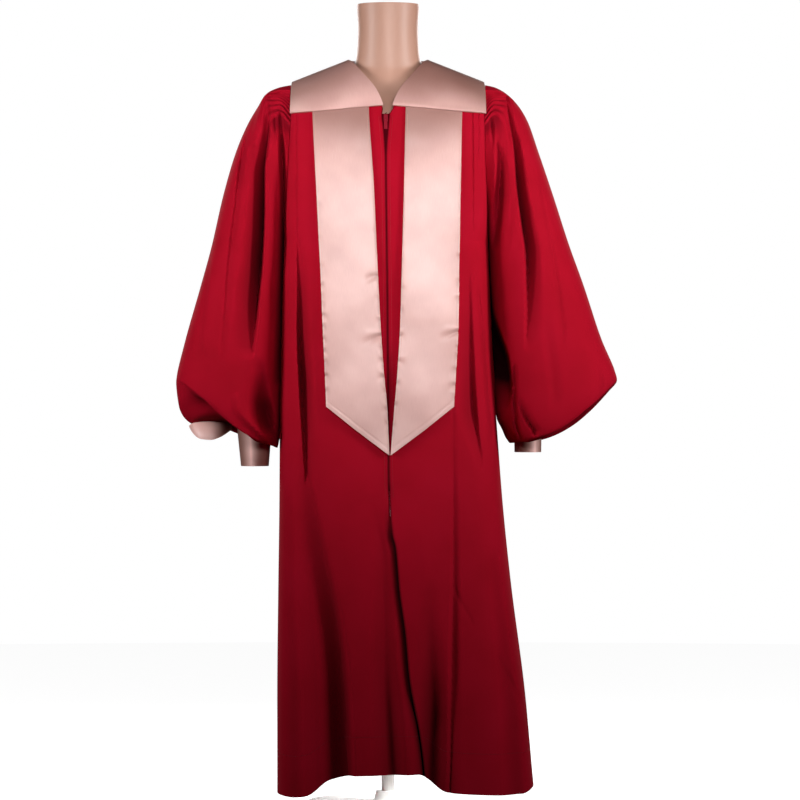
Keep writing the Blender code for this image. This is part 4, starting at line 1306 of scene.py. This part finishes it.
@dataclass
class Sleeve:
    """A full sleeve, pleated into the armhole, hanging in folds and turned up into its cuff."""

    hand: Hand
    finish: bpy.types.Material
    satin: bpy.types.Material
    thickness: float = 1.5
    satin_thickness: float = 1.4
    # The pleats of the sleeve head, between two angles from the shoulder, on each side of it.
    pleat_from: float = 25.0
    pleat_to: float = 63.0
    pleats_a_side: int = 9
    top_points: int = 3
    under_points: int = 11
    column_steps: int = 4
    head_pleat: float = 2.4
    pleat_shade: float = 0.45
    pleat_climbs: tuple[float, ...] = (0.3, 0.7, 0.7, 0.5)
    pleat_middle: float = 44.0
    pleat_spread: float = 25.0
    # The tuck behind the arm, in degrees, and where the pouch's front begins to rise.
    tuck_turn: float = 214.0
    tuck_wide: float = 14.0
    rise_from: float = 0.6
    # The satin cuff: its seam, its painted shade with a painted highlight line, and its creases.
    cuff_seam: float = 9.0
    cuff_shade: float = 0.75
    cuff_gleam: float = 26.0
    cuff_line: float = 0.4
    cuff_highlight_turn: float = 6.0
    cuff_crease: float = 0.8
    cuff_rings: int = 2
    cuff_points: int = 110
    cuff_rows: int = 24
    cuff_creases: int = 5
    cuff_crease_top: float = 0.2
    # A ring well inside the sleeve, which tells the outer face from the inner one.
    check_ring: int = 20
    row_step: float = 5.0

    @property
    def table(self) -> Table:
        """The sleeve's sections."""
        return RIGHT_SLEEVE if self.hand is Hand.RIGHT else LEFT_SLEEVE

    def angles(self) -> tuple[Array, Array]:
        """Where the pleats stand round the sleeve head.

        Returns:
            Angles in degrees, and the pleats' wave there, from -1 to 1.
        """
        pleats = np.linspace(self.pleat_from, self.pleat_to, 2 * self.pleats_a_side)
        top = np.linspace(-self.pleat_from, self.pleat_from, self.top_points + 2)[1:-1]
        under = np.linspace(self.pleat_to, 360 - self.pleat_to, self.under_points + 2)[1:-1]
        coarse = np.concatenate([top, pleats, under, 360 - pleats[::-1]])
        count = coarse.size
        place = np.arange(count * self.column_steps) / self.column_steps
        fine = np.interp(place, np.arange(count + 1), np.append(coarse, coarse[0] + 360))
        front = place - top.size
        rear = place - top.size - pleats.size - under.size
        last = pleats.size - 1
        wave = np.where((front > -0.5) & (front < last + 0.5), np.cos(math.pi * front), 0)
        wave = wave + np.where((rear > -0.5) & (rear < last + 0.5), -np.cos(math.pi * rear), 0)
        return fine, wave

    def section(self, row: Array, angles: Array) -> Array:
        """One section: an oval between its outer and inner ends.

        Args:
            row: Its row of the table.
            angles: Angles round it in radians, from the outer end.

        Returns:
            Its points.
        """
        size = dict(zip(SLEEVE_COLUMNS, row))
        c, s = np.cos(angles), np.sin(angles)
        power = 2 / size["square"]
        along = np.sign(c) * np.abs(c) ** power
        across = np.sign(s) * np.abs(s) ** power
        middle_x, middle_z = ((size[f"out_{axis}"] + size[f"in_{axis}"]) / 2 for axis in "xz")
        half_x, half_z = ((size[f"out_{axis}"] - size[f"in_{axis}"]) / 2 for axis in "xz")
        reach = np.where(s > 0, size["front"], size["back"])
        turn = np.degrees(angles) % 360
        tuck = size["tuck"] * np.exp(-(((turn - self.tuck_turn) / self.tuck_wide) ** 2))
        inner = BodyForm.side_edge(np.array(size["in_z"]), self.hand.value) + 2 * BodyForm.SEAM
        shut = (size["in_x"] - inner) * ease(size["in_z"], *SHUT_HEIGHTS[self.hand])
        shut = shut * np.clip(-along, 0, 1) ** 2
        x = self.hand.value * (middle_x + half_x * along - tuck - shut)
        z = middle_z + half_z * along - size["sag"] * (1 - along**2)
        z = z + size["rise"] * np.clip(across, 0, 1) * np.clip(self.rise_from + along, 0, 1)
        return np.stack([x, -across * reach, z], axis=-1)

    def head(self, angles: Array) -> Array:
        """The first ring, on the armhole's edge.

        Args:
            angles: Angles round it in radians, from the shoulder.

        Returns:
            Its points.
        """
        middle = (BodyForm.ARMPIT_H + BodyForm.SHOULDER_H) / 2
        half = (BodyForm.SHOULDER_H - BodyForm.ARMPIT_H) / 2
        z = middle + half * np.cos(angles)
        x = self.hand.value * (BodyForm.side_edge(z, self.hand.value) + 2 * BodyForm.SEAM)
        return np.stack([x, -np.sign(np.sin(angles)) * BodyForm.armhole_depth(z), z], axis=-1)

    def grid(self) -> Patch:
        """The sleeve's rings, from the armhole to the cuff.

        Returns:
            The rings, with their pleats and folds.
        """
        degrees, wave = self.angles()
        head = np.radians(degrees)
        even = np.linspace(0, 2 * math.pi, head.size, endpoint=False) + head[0] * 0.5
        rings = [self.head(head)]
        pleats = [self.head_pleat]
        for number, row in enumerate(self.table.rows):
            fan = row[SLEEVE_COLUMNS.index("fan")]
            climb = self.pleat_climbs[min(number, len(self.pleat_climbs) - 1)] * (1 - fan)
            turn = head + (even - head) * fan
            turn = (turn + math.pi) % (2 * math.pi) - math.pi
            near = np.exp(-(((np.degrees(np.abs(turn)) - self.pleat_middle) / self.pleat_spread) ** 2))
            rings.append(self.section(np.array(row, float), turn * (1 - climb * near)))
            pleats.append(row[SLEEVE_COLUMNS.index("pleat")])
        cuff = CUFFS[self.hand]
        low = 1.0 - self.cuff_seam / (cuff.z_top - cuff.z_low)
        for share in np.linspace(1.0, low, self.cuff_rings):
            x, y, wide, deep, z = cuff.row(share, self.thickness + BodyForm.SEAM)
            lip_x = x + self.hand.value * wide * np.cos(even)
            rings.append(np.stack([lip_x, y - deep * np.sin(even), np.full_like(even, z)], -1))
            pleats.append(0.0)
        rings = np.array(rings)
        spans = np.linalg.norm(np.diff(rings, axis=0), axis=-1).max(axis=1)
        places = np.concatenate([[0.0], np.cumsum(spans)])
        fine = split_rows(places, self.row_step)
        grid = smooth_curve(places, rings, fine)
        normals = grid_normals(grid, closed=True)
        middle = grid.mean(axis=1, keepdims=True)
        if np.sum((normals * (grid - middle))[self.check_ring]) < 0:
            normals = -normals
        still = 1 - ease(fine, places[-self.cuff_rings - 2], places[-self.cuff_rings - 1])
        still = still * ease(fine, 0, places[1])
        side_of = np.where(grid[..., 1] < 0, -1, 1)
        lift, shade = fold_height(grid, SLEEVE_FOLDS, side_of)
        lift, shade = lift * still[:, None], shade * still[:, None]
        tall = smooth_curve(places, np.array(pleats), fine)
        ripple = tall[:, None] * wave[None, :]
        shade = np.clip(shade + ease(-ripple, 0, self.head_pleat) * self.pleat_shade, 0, 1)
        grid = grid + normals * ripple[..., None]
        return Patch(grid + np.stack([0 * lift, lift * side_of, 0 * lift], -1), True, shade)

    def cloth(self) -> bpy.types.Object:
        """The twill sleeve.

        Returns:
            The piece.
        """
        patch = self.grid()
        name = f"sleeve_{self.hand.word}"
        middle = tuple(patch.points.reshape(-1, 3).mean(axis=0))
        piece = shell(f"{name}_cloth", [patch], middle, self.thickness, self.finish)
        keep(piece, "red_twill", name)
        return piece

    def cuff(self) -> bpy.types.Object:
        """The satin cuff, a plain tube with a few soft creases.

        Returns:
            The piece.
        """
        size = CUFFS[self.hand]
        turns = np.linspace(0, 2 * math.pi, self.cuff_points, endpoint=False)
        c, s = np.cos(turns), np.sin(turns)
        rings = []
        for share in np.linspace(0, 1, self.cuff_rows):
            x, y, wide, deep, z = size.row(share, 0.0)
            rings.append(np.stack([x + wide * c, y + deep * s, np.full_like(turns, z)], -1))
        grid = np.array(rings)
        middle = tuple(grid.reshape(-1, 3).mean(axis=0))
        away = (np.degrees(turns) - size.light + 180) % 360 - 180
        fade = np.linspace(1, self.cuff_crease_top, self.cuff_rows)[:, None]
        crease = self.cuff_crease * np.cos(np.radians(away) * self.cuff_creases) * fade
        grid[..., 1] += crease * np.sign(s) * np.abs(s) ** 0.5
        # Painted shade all round the cuff away from the highlight, and a thin painted highlight line.
        cuff_painted_shade = self.cuff_shade * (1 - np.exp(-((away / self.cuff_gleam) ** 2)))
        line = self.cuff_line * np.exp(-((away / self.cuff_highlight_turn) ** 2))
        patch = Patch(grid, True, np.ones((self.cuff_rows, 1)) * (cuff_painted_shade - line))
        name = f"cuff_{self.hand.word}"
        piece = shell(f"{name}_satin", [patch], middle, self.satin_thickness, self.satin)
        keep(piece, "satin", name)
        return piece

    def build(self) -> None:
        """Builds the sleeve and its cuff."""
        self.cloth()
        self.cuff()


# Where the stole bands' long edges pucker: height, depth and how far in it reaches, in millimetres.
PUCKERS = {
    (Hand.RIGHT, "out"): (
        (1115, 0.8, 10), (1054, 0.7, 8), (1003, 1.2, 12), (966, 1.6, 9), (947, 1.3, 8), (932, 1.1, 8),
        (910, 1.8, 14), (889, 1.2, 8), (867, 1.7, 9), (844, 1.3, 10), (824, 1.6, 9), (799, 1.8, 12),
        (771, 1.4, 9),
    ),
    (Hand.RIGHT, "in"): (
        (1063, 1.0, 12), (1026, 0.8, 9), (984, 2.6, 34), (941, 1.0, 10), (900, 1.2, 12),
        (872, 3.2, 44), (848, 1.0, 9), (825, 1.4, 12), (796, 1.9, 16), (769, 1.3, 10), (736, 1.6, 14),
        (708, 1.1, 9),
    ),
    (Hand.LEFT, "in"): (
        (1012, 0.9, 10), (960, 1.2, 14), (919, 1.0, 9), (872, 1.6, 14), (825, 1.9, 20), (784, 1.4, 12),
        (745, 1.5, 12), (708, 1.1, 9),
    ),
    (Hand.LEFT, "out"): (
        (1020, 1.0, 12), (973, 1.2, 10), (941, 1.5, 14), (880, 3.0, 40), (850, 1.3, 9), (835, 1.5, 10),
        (810, 1.7, 14), (781, 1.8, 16), (758, 1.2, 8),
    ),
}


@dataclass
class SatinTrim:
    """The collar, the stole bands and the loose end of the right cuff."""

    finish: bpy.types.Material
    thread: bpy.types.Material
    thickness: float = 1.4
    # The collar's outline and grid, its soft waves, and its painted shade above a painted highlight along
    # its lower edge, with more painted shade on the left flap.
    collar_rows: tuple[float, ...] = (1306, 1326, 1338, 1343)
    collar_low_edge: float = 1284.0
    collar_low_middle: float = 1292.0
    collar_back_low: float = 1262.0
    collar_out: float = 177.5
    collar_off: float = 5.2
    collar_steps: int = 70
    collar_first: float = 8.5
    collar_low_rows: int = 14
    collar_low_crowd: float = 1.7
    collar_waves: tuple[float, float] = (21.0, 13.0)
    collar_phase: float = 1.3
    collar_wavy: tuple[float, float] = (40.0, 90.0)
    collar_calm: tuple[float, float] = (1318.0, 1338.0)
    collar_loose: tuple[float, float] = (1290.0, 1300.0)
    collar_shade: float = 0.48
    collar_shaded: tuple[float, float] = (1290.0, 1328.0)
    collar_tilt: float = 0.06
    collar_tilt_x: float = 90.0
    collar_ripple: tuple[float, float] = (5.0, 27.0)
    collar_light: float = 0.14
    collar_light_wide: float = 9.0
    collar_left_shade: float = 0.24
    collar_row_step: float = 4.0
    nape_steps: int = 60
    # The stole bands.
    stole_top: float = 1296.0
    stole_corner: float = 742.0
    stole_tip: float = 648.0
    stole_rows: int = 240
    stole_columns: int = 56
    stole_core: tuple[float, float, float] = (0, 0, 900)
    # The loose end of the right cuff, with painted shade towards one end and painted light towards the
    # other.
    cuff_end_top: float = 706.5
    cuff_end_rise: float = 8.0
    cuff_end_points: int = 60
    cuff_end_rows: int = 14
    cuff_end_round: float = 0.7
    cuff_end_core: tuple[float, float, float] = (-335, 120, 700)
    cuff_end_dark: tuple[float, float] = (0.45, 0.8)
    cuff_end_bright: tuple[float, float] = (0.5, 0.2)
    cuff_end_shade: float = 0.8
    cuff_end_light: float = 0.3
    # The bands' puckers, rolled edges, hem and slow sway, and the painted shade in their puckers and
    # along their tops and the painted light on their lower parts.
    pucker_wide: float = 3.6
    pucker_spread: float = 6.0
    pucker_drop: float = 0.4
    pucker_rise: float = 0.5
    pucker_ridge: float = 1.9
    pucker_shade: float = 0.09
    pucker_shade_off: float = 0.3
    pucker_shade_most: float = 0.6
    edge_roll: float = 0.7
    edge_wide: float = 1.6
    edge_crowd: float = 0.75
    row_crowd: float = 0.3
    hem_step: float = 0.35
    hem_wide: float = 9.0
    sway: float = 1.7
    sway_waves: tuple[float, float] = (41.0, 97.0)
    sway_slant: float = 2.1
    sway_heights: tuple[float, float] = (1230.0, 1000.0)
    top_shade: float = 0.6
    top_fade: tuple[float, float] = (10.0, 115.0)
    low_light: float = 0.22
    low_lit: tuple[float, float] = (1100.0, 860.0)
    low_drift: tuple[float, float] = (0.7, 0.3)
    low_wave: float = 31.0
    top_slant: float = 0.3
    lip_wide: float = 2.2
    stole_grids: dict = field(default_factory=dict)
    collar_edge: list = field(default_factory=list)

    def collar(self) -> bpy.types.Object:
        """The collar: two front flaps with the V between them, and the back, in one piece.

        Returns:
            The piece.
        """
        share = np.sin(np.linspace(0, math.pi / 2, self.collar_steps))[None, :]
        upper = split_rows((BodyForm.YOKE_H + self.collar_first, *self.collar_rows), self.collar_row_step)
        rest = upper[upper > self.collar_rows[0] + 0.01][:, None]
        climb = np.linspace(0, 1, self.collar_low_rows)[:, None] ** self.collar_low_crowd
        patches = []
        for hand in Hand:
            low = self.collar_low_middle + (self.collar_low_edge - self.collar_low_middle) * share
            above = low + (self.collar_rows[0] - low) * climb
            h = np.concatenate([above, np.broadcast_to(rest, (rest.size, share.size))])
            neck = NECKLINE.read("x", h)
            x = hand.value * (neck + (self.collar_out - neck) * share)
            out = np.abs(x)
            flap = BodyForm.point(x, h, Face.FRONT.value, 0.0, 0.0)
            roll = np.exp(-(((h - low) / self.lip_wide) ** 2))
            soft = np.sin(x / self.collar_waves[0] + self.collar_phase) * np.sin(h / self.collar_waves[1])
            soft = soft * ease(out, *self.collar_wavy) * (1 - ease(h, *self.collar_calm))
            flap[..., 1] -= self.edge_roll * roll + self.sway * soft * ease(h, *self.collar_loose)
            high, long = self.collar_ripple
            slope = h + self.collar_tilt * (out - self.collar_tilt_x) + high * np.sin(x / long)
            shade = self.collar_shade * ease(slope, *self.collar_shaded)
            lit = (slope - self.collar_shaded[0]) / self.collar_light_wide
            shade = shade - self.collar_light * np.exp(-(lit**2))
            if hand is Hand.LEFT:
                shade = shade + self.collar_left_shade * (1 - roll)
            self.collar_edge.append(flap[2] - np.array([0, self.collar_off + 0.3, 0]))
            patches.append(Patch(flap[:, :: hand.value], False, shade[:, :: hand.value]))
        wing = BodyForm.NECK_X + (self.collar_out - BodyForm.NECK_X) * share[0]
        nape = BodyForm.NECK_X * np.sin(np.linspace(-math.pi / 2, math.pi / 2, self.nape_steps + 1))[1:-1]
        x = np.concatenate([-wing[::-1], nape, wing])[None, :]
        rows = (self.collar_back_low, BodyForm.YOKE_H) + self.collar_rows
        h = split_rows(rows, self.collar_row_step)[:, None]
        patches.append(Patch(BodyForm.point(x, h, Face.BACK.value, 0.0, 0.0)[:, ::-1]))
        piece = shell("collar_satin", patches, (0, 0, 1100), self.thickness, self.finish, self.collar_off)
        keep(piece, "satin", "collar")
        return piece

    def puckers(self, hand: Hand, z: Array, from_in: Array, from_out: Array) -> tuple[Array, Array]:
        """The small dents along a band's long edges, where the sewing draws it in.

        Args:
            hand: The band's side.
            z: Heights of the points.
            from_in: Distances from the inner edge.
            from_out: Distances from the outer edge.

        Returns:
            The lift of each point and its shade.
        """
        lift, shade = np.zeros_like(z), np.zeros_like(z)
        for edge, away in (("in", from_in), ("out", from_out)):
            for middle, deep, reach in PUCKERS[hand, edge]:
                near = 1 - ease(away, 0, reach)
                wide = self.pucker_wide + self.pucker_spread * away / reach
                t = (z - middle + self.pucker_drop * away) / wide
                dent = np.exp(-(t**2)) - self.pucker_rise * np.exp(-((t - self.pucker_ridge) ** 2))
                lift -= deep * near * dent
                dark = np.exp(-((t + self.pucker_shade_off) ** 2))
                shade += self.pucker_shade * deep * near**2 * dark
        return lift, np.clip(shade, 0, self.pucker_shade_most)

    def stole(self, hand: Hand) -> bpy.types.Object:
        """A band down one front, cut off slantwise to a point at the middle.

        Args:
            hand: The band's side.

        Returns:
            The piece.
        """
        along = np.linspace(0, 1, self.stole_rows)[:, None]
        along = along + self.row_crowd * np.sin(math.pi * along) / math.pi
        across = np.linspace(0, 1, self.stole_columns)[None, :]
        across = across - self.edge_crowd * np.sin(2 * math.pi * across) / (2 * math.pi)
        low = self.stole_tip + (self.stole_corner - self.stole_tip) * across
        top = np.linspace(self.stole_top, BodyForm.YOKE_H, 4)[:-1, None]
        tops = np.broadcast_to(top, (top.size, across.size))
        z = np.concatenate([tops, BodyForm.YOKE_H + (low - BodyForm.YOKE_H) * along])
        inner = STOLES.read(f"{hand.word}_in", z)
        outer = STOLES.read(f"{hand.word}_out", z)
        x = inner + (outer - inner) * across
        wide = np.abs(outer - inner)
        lift, shade = self.puckers(hand, z, wide * across, wide * (1 - across))
        from_edge = wide * np.minimum(across, 1 - across)
        lift = lift + self.edge_roll * np.exp(-((from_edge / self.edge_wide) ** 2))
        lift = lift + self.hem_step * ease(low - z, -self.hem_wide - 1.0, -self.hem_wide)
        short, long = self.sway_waves
        swing = np.sin(z / short + self.sway_slant * across) * np.sin(z / long + 1)
        lift = lift + self.sway * swing * ease(z, *self.sway_heights)
        # Painted shade along the band's top under the collar, and painted light waving down its lower
        # part.
        slant = BodyForm.YOKE_H - z + self.top_slant * across * wide
        shade = np.maximum(shade, self.top_shade * (1 - ease(slant, *self.top_fade)))
        even, drift = self.low_drift
        bright = even + drift * np.sin(z / self.low_wave + 3 * across)
        shade = shade - self.low_light * ease(z, *self.low_lit) * bright
        grid = BodyForm.point(x, z, Face.FRONT.value)
        grid = grid + outward(grid) * (STOLES.read("off", z) + lift)[..., None]
        self.stole_grids[hand] = grid
        name = f"stole_{hand.word}"
        patch = Patch(grid, False, shade)
        piece = shell(f"{name}_satin", [patch], self.stole_core, self.thickness, self.finish)
        keep(piece, "satin", name)
        return piece

    def cuff_end(self) -> bpy.types.Object:
        """The loose satin end that shows below the right sleeve.

        Returns:
            The piece.
        """
        places = np.linspace(0, 1, self.cuff_end_points)
        knots = np.linspace(0, 1, len(CUFF_END.rows))
        x, low, bulge = (smooth_curve(knots, CUFF_END.column(name), places) for name in CUFF_END.names)
        top = self.cuff_end_top + self.cuff_end_rise * np.sin(math.pi * places) ** self.cuff_end_round
        rows = [
            np.stack([x, bulge * (1 - 0.5 * share**2), low + (top - low) * share], -1)
            for share in np.linspace(0, 1, self.cuff_end_rows)
        ]
        shade = self.cuff_end_shade * ease(places, *self.cuff_end_dark)
        shade = shade - self.cuff_end_light * ease(places, *self.cuff_end_bright)
        patch = Patch(np.array(rows), False, np.broadcast_to(shade, (len(rows), places.size)))
        piece = shell("cuff_end_right_satin", [patch], self.cuff_end_core, self.thickness, self.finish)
        keep(piece, "satin", "cuff_end_right")
        return piece

    def sewing(self) -> None:
        """Rows of stitches round the bands and along the collar's lower edge."""
        off = np.array([0, 0.25, 0])
        lines = []
        for hand in Hand:
            grid = self.stole_grids[hand]
            columns = (6, self.stole_columns - 7)
            for column in columns:
                lines.append(grid[4:-9, column] - off)
            lines.append(grid[-10, columns[0] : columns[1] + 1] - off)
        STITCH.along("stole_stitches", lines, self.thread, "satin")
        STITCH.along("collar_stitches", self.collar_edge, self.thread, "satin")

    def build(self) -> None:
        """Builds the satin pieces and their sewing."""
        self.collar()
        for hand in Hand:
            self.stole(hand)
        self.cuff_end()
        self.sewing()


@dataclass
class Zip:
    """The zip's tapes and teeth, behind the edges of the fronts, and its slider and pull tab."""

    tape: bpy.types.Material
    metal: bpy.types.Material
    nylon: bpy.types.Material
    wide: float = 12.0
    thick: float = 0.8
    teeth_in: float = 0.9
    teeth_low: float = 572.0
    half_gap: float = 0.1
    middle: float = 4.0
    cloth: float = 1.5
    rows: tuple[float, ...] = (492, 640, 820, 1008, 1138, 1220, 1284)
    row_step: float = 8.0

    def tapes(self) -> None:
        """Both tapes, behind the edges of the fronts."""
        h = split_rows(self.rows, self.row_step)[:, None]
        line = CLOSURE.read("line", h)
        for hand in Hand:
            across = np.array([self.half_gap, self.middle, (self.middle + self.wide) / 2, self.wide])
            grid = BodyForm.point(line + hand.value * across[None, :], h, Face.FRONT.value)
            name = f"zip_tape_{hand.word}"
            off = -(self.cloth + BodyForm.SEAM)
            piece = shell(f"{name}_woven", [Patch(grid)], (0, 0, 900), self.thick, self.tape, off)
            teeth = line + hand.value * (self.half_gap + self.teeth_in)
            edge = BodyForm.point(teeth, h, Face.FRONT.value)
            stagger = 0.5 * TOOTH.spacing if hand is Hand.LEFT else 0.0
            edge = edge[h[:, 0] > self.teeth_low, 0] + np.array([0, -off, stagger])
            TOOTH.along(f"zip_teeth_{hand.word}", [edge], self.nylon, "zip_tape")
            keep(piece, "zip_tape", name)

    def build(self) -> None:
        """Builds the tapes and gives the slider and its pull their finish."""
        self.tapes()
        refinish(("zip_slider", "zip_pull"), self.metal)


@dataclass
class DressForm:
    """The torso form with its neck, pole and base."""

    skin: bpy.types.Material
    white: bpy.types.Material
    points: int = 128
    row_step: float = 7.0

    def torso(self) -> bpy.types.Object:
        """The smooth torso and neck.

        Returns:
            The piece.
        """
        turns = np.linspace(0, 2 * math.pi, self.points, endpoint=False)
        c, s = np.cos(turns), np.sin(turns)
        z = split_rows(FORM.column("z"), self.row_step)
        rings = []
        for height in z:
            power = 2 / FORM.read("square", height)
            reach = np.where(s < 0, FORM.read("front", height), FORM.read("back", height))
            x = np.sign(c) * np.abs(c) ** power * FORM.read("wide", height)
            y = np.sign(s) * np.abs(s) ** power * reach
            rings.append(np.stack([x, y, np.full_like(x, height)], -1))
        index = np.arange(z.size * self.points).reshape(z.size, self.points)
        right = np.roll(index, -1, axis=1)
        quads = np.stack([index[:-1], right[:-1], right[1:], index[1:]], -1).reshape(-1, 4).tolist()
        faces = quads + [index[0][::-1].tolist(), index[-1].tolist()]
        piece = mesh_object("form_torso_skin", np.array(rings).reshape(-1, 3), faces, self.skin)
        return keep(piece, "form_skin", "form_torso")

    def build(self) -> None:
        """Builds the torso and gives the stand its finish."""
        self.torso()
        refinish(("form_pole", "form_base"), self.white)


@dataclass
class Studio:
    """A pale floor, soft lights and the camera at the photo's angle. Sizes are in metres, apart from
    the lens."""

    distance: float = 9.0
    camera_x: float = 0.0224
    camera_z: float = 0.7544
    lens: float = 216.6
    floor_radius: float = 6.0
    floor_glow: float = 0.96

    def floor(self) -> None:
        """The floor, one plain pale disc."""
        turns = np.linspace(0, 2 * math.pi, 96, endpoint=False)
        points = [(self.floor_radius * math.cos(t), self.floor_radius * math.sin(t), 0.0) for t in turns]
        mesh = bpy.data.meshes.new("floor")
        mesh.from_pydata(points, [], [list(range(len(points)))])
        material, _, shader = new_material("pale_floor")
        shader.inputs["Base Color"].default_value = srgb("#F4F4F3")
        shader.inputs["Roughness"].default_value = 0.8
        shader.inputs["Emission Color"].default_value = (1, 1, 1, 1)
        shader.inputs["Emission Strength"].default_value = self.floor_glow
        mesh.materials.append(material)
        thing = add_object("floor", mesh)
        thing.visible_diffuse = False
        thing.visible_glossy = False

    def light(
        self, name: str, place: tuple[float, float, float], aim: tuple[float, float, float],
        size: tuple[float, float], power: float, spread: float,
    ) -> None:
        """One soft rectangular light.

        Args:
            name: Its name.
            place: Where it stands, in metres.
            aim: The point that it faces.
            size: Its width and height in metres.
            power: Its power in watts.
            spread: The angle that it shines over, in degrees.
        """
        data = bpy.data.lights.new(name, "AREA")
        data.shape = "RECTANGLE"
        data.size, data.size_y = size
        data.energy = power
        data.spread = math.radians(spread)
        lamp = add_object(name, data)
        lamp.location = place
        way = np.array(aim, float) - np.array(place, float)
        fall = math.atan2(math.hypot(way[0], way[1]), -way[2])
        lamp.rotation_euler = (fall, 0, math.atan2(-way[0], way[1]))
        lamp.visible_camera = False

    def build(self) -> None:
        """Builds the floor, lights, world and camera."""
        self.floor()
        self.light("key", (0.25, -2.3, 1.52), (0.05, 0, 1.2), (1.7, 0.5), 4.2, 44)
        self.light("left side", (2.3, -1.2, 1.55), (0.2, 0, 1.12), (0.6, 0.9), 10.5, 80)
        self.light("right side", (-2.3, -1.2, 1.55), (-0.2, 0, 1.12), (0.6, 0.9), 8.6, 80)
        self.light("rear left", (1.1, 3.0, 1.8), (0, 0, 1.0), (1.0, 1.2), 14.0, 120)
        self.light("rear right", (-1.3, 2.9, 1.8), (0, 0, 1.0), (1.0, 1.2), 12.0, 120)
        self.light("under the hem", (0.06, 0, 0.6), (0, 0, 0), (0.08, 0.08), 1.0, 50)
        world = bpy.data.worlds.new("studio")
        bpy.context.scene.world = world
        world.use_nodes = True
        sky = world.node_tree.nodes["Background"]
        sky.inputs["Color"].default_value = (1, 1, 1, 1)
        sky.inputs["Strength"].default_value = 1.0
        world.cycles_visibility.diffuse = False
        world.cycles_visibility.glossy = False
        bpy.context.scene.view_settings.view_transform = "Standard"
        data = bpy.data.cameras.new("camera")
        data.lens = self.lens
        data.sensor_width = 36.0
        data.clip_end = 60.0
        camera = add_object("camera", data)
        camera.location = (self.camera_x, -self.distance, self.camera_z)
        camera.rotation_euler = (math.pi / 2, 0, 0)
        bpy.context.scene.camera = camera


def corners(bounds: Iterable) -> list[list[float]]:
    """Two corners as plain lists."""
    return [[float(value) for value in corner] for corner in bounds]


def main() -> None:
    """Builds every piece."""
    logging.basicConfig(level=logging.INFO)
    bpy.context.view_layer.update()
    finishes = Finishes()
    Studio().build()
    RobeBody(finishes.twill, finishes.red_thread).build()
    for hand in Hand:
        Sleeve(hand, finishes.twill, finishes.satin).build()
    SatinTrim(finishes.satin, finishes.rose_thread).build()
    Zip(finishes.tape, finishes.zinc, finishes.nylon).build()
    DressForm(finishes.skin, finishes.white).build()


if __name__ == "__main__":
    main()
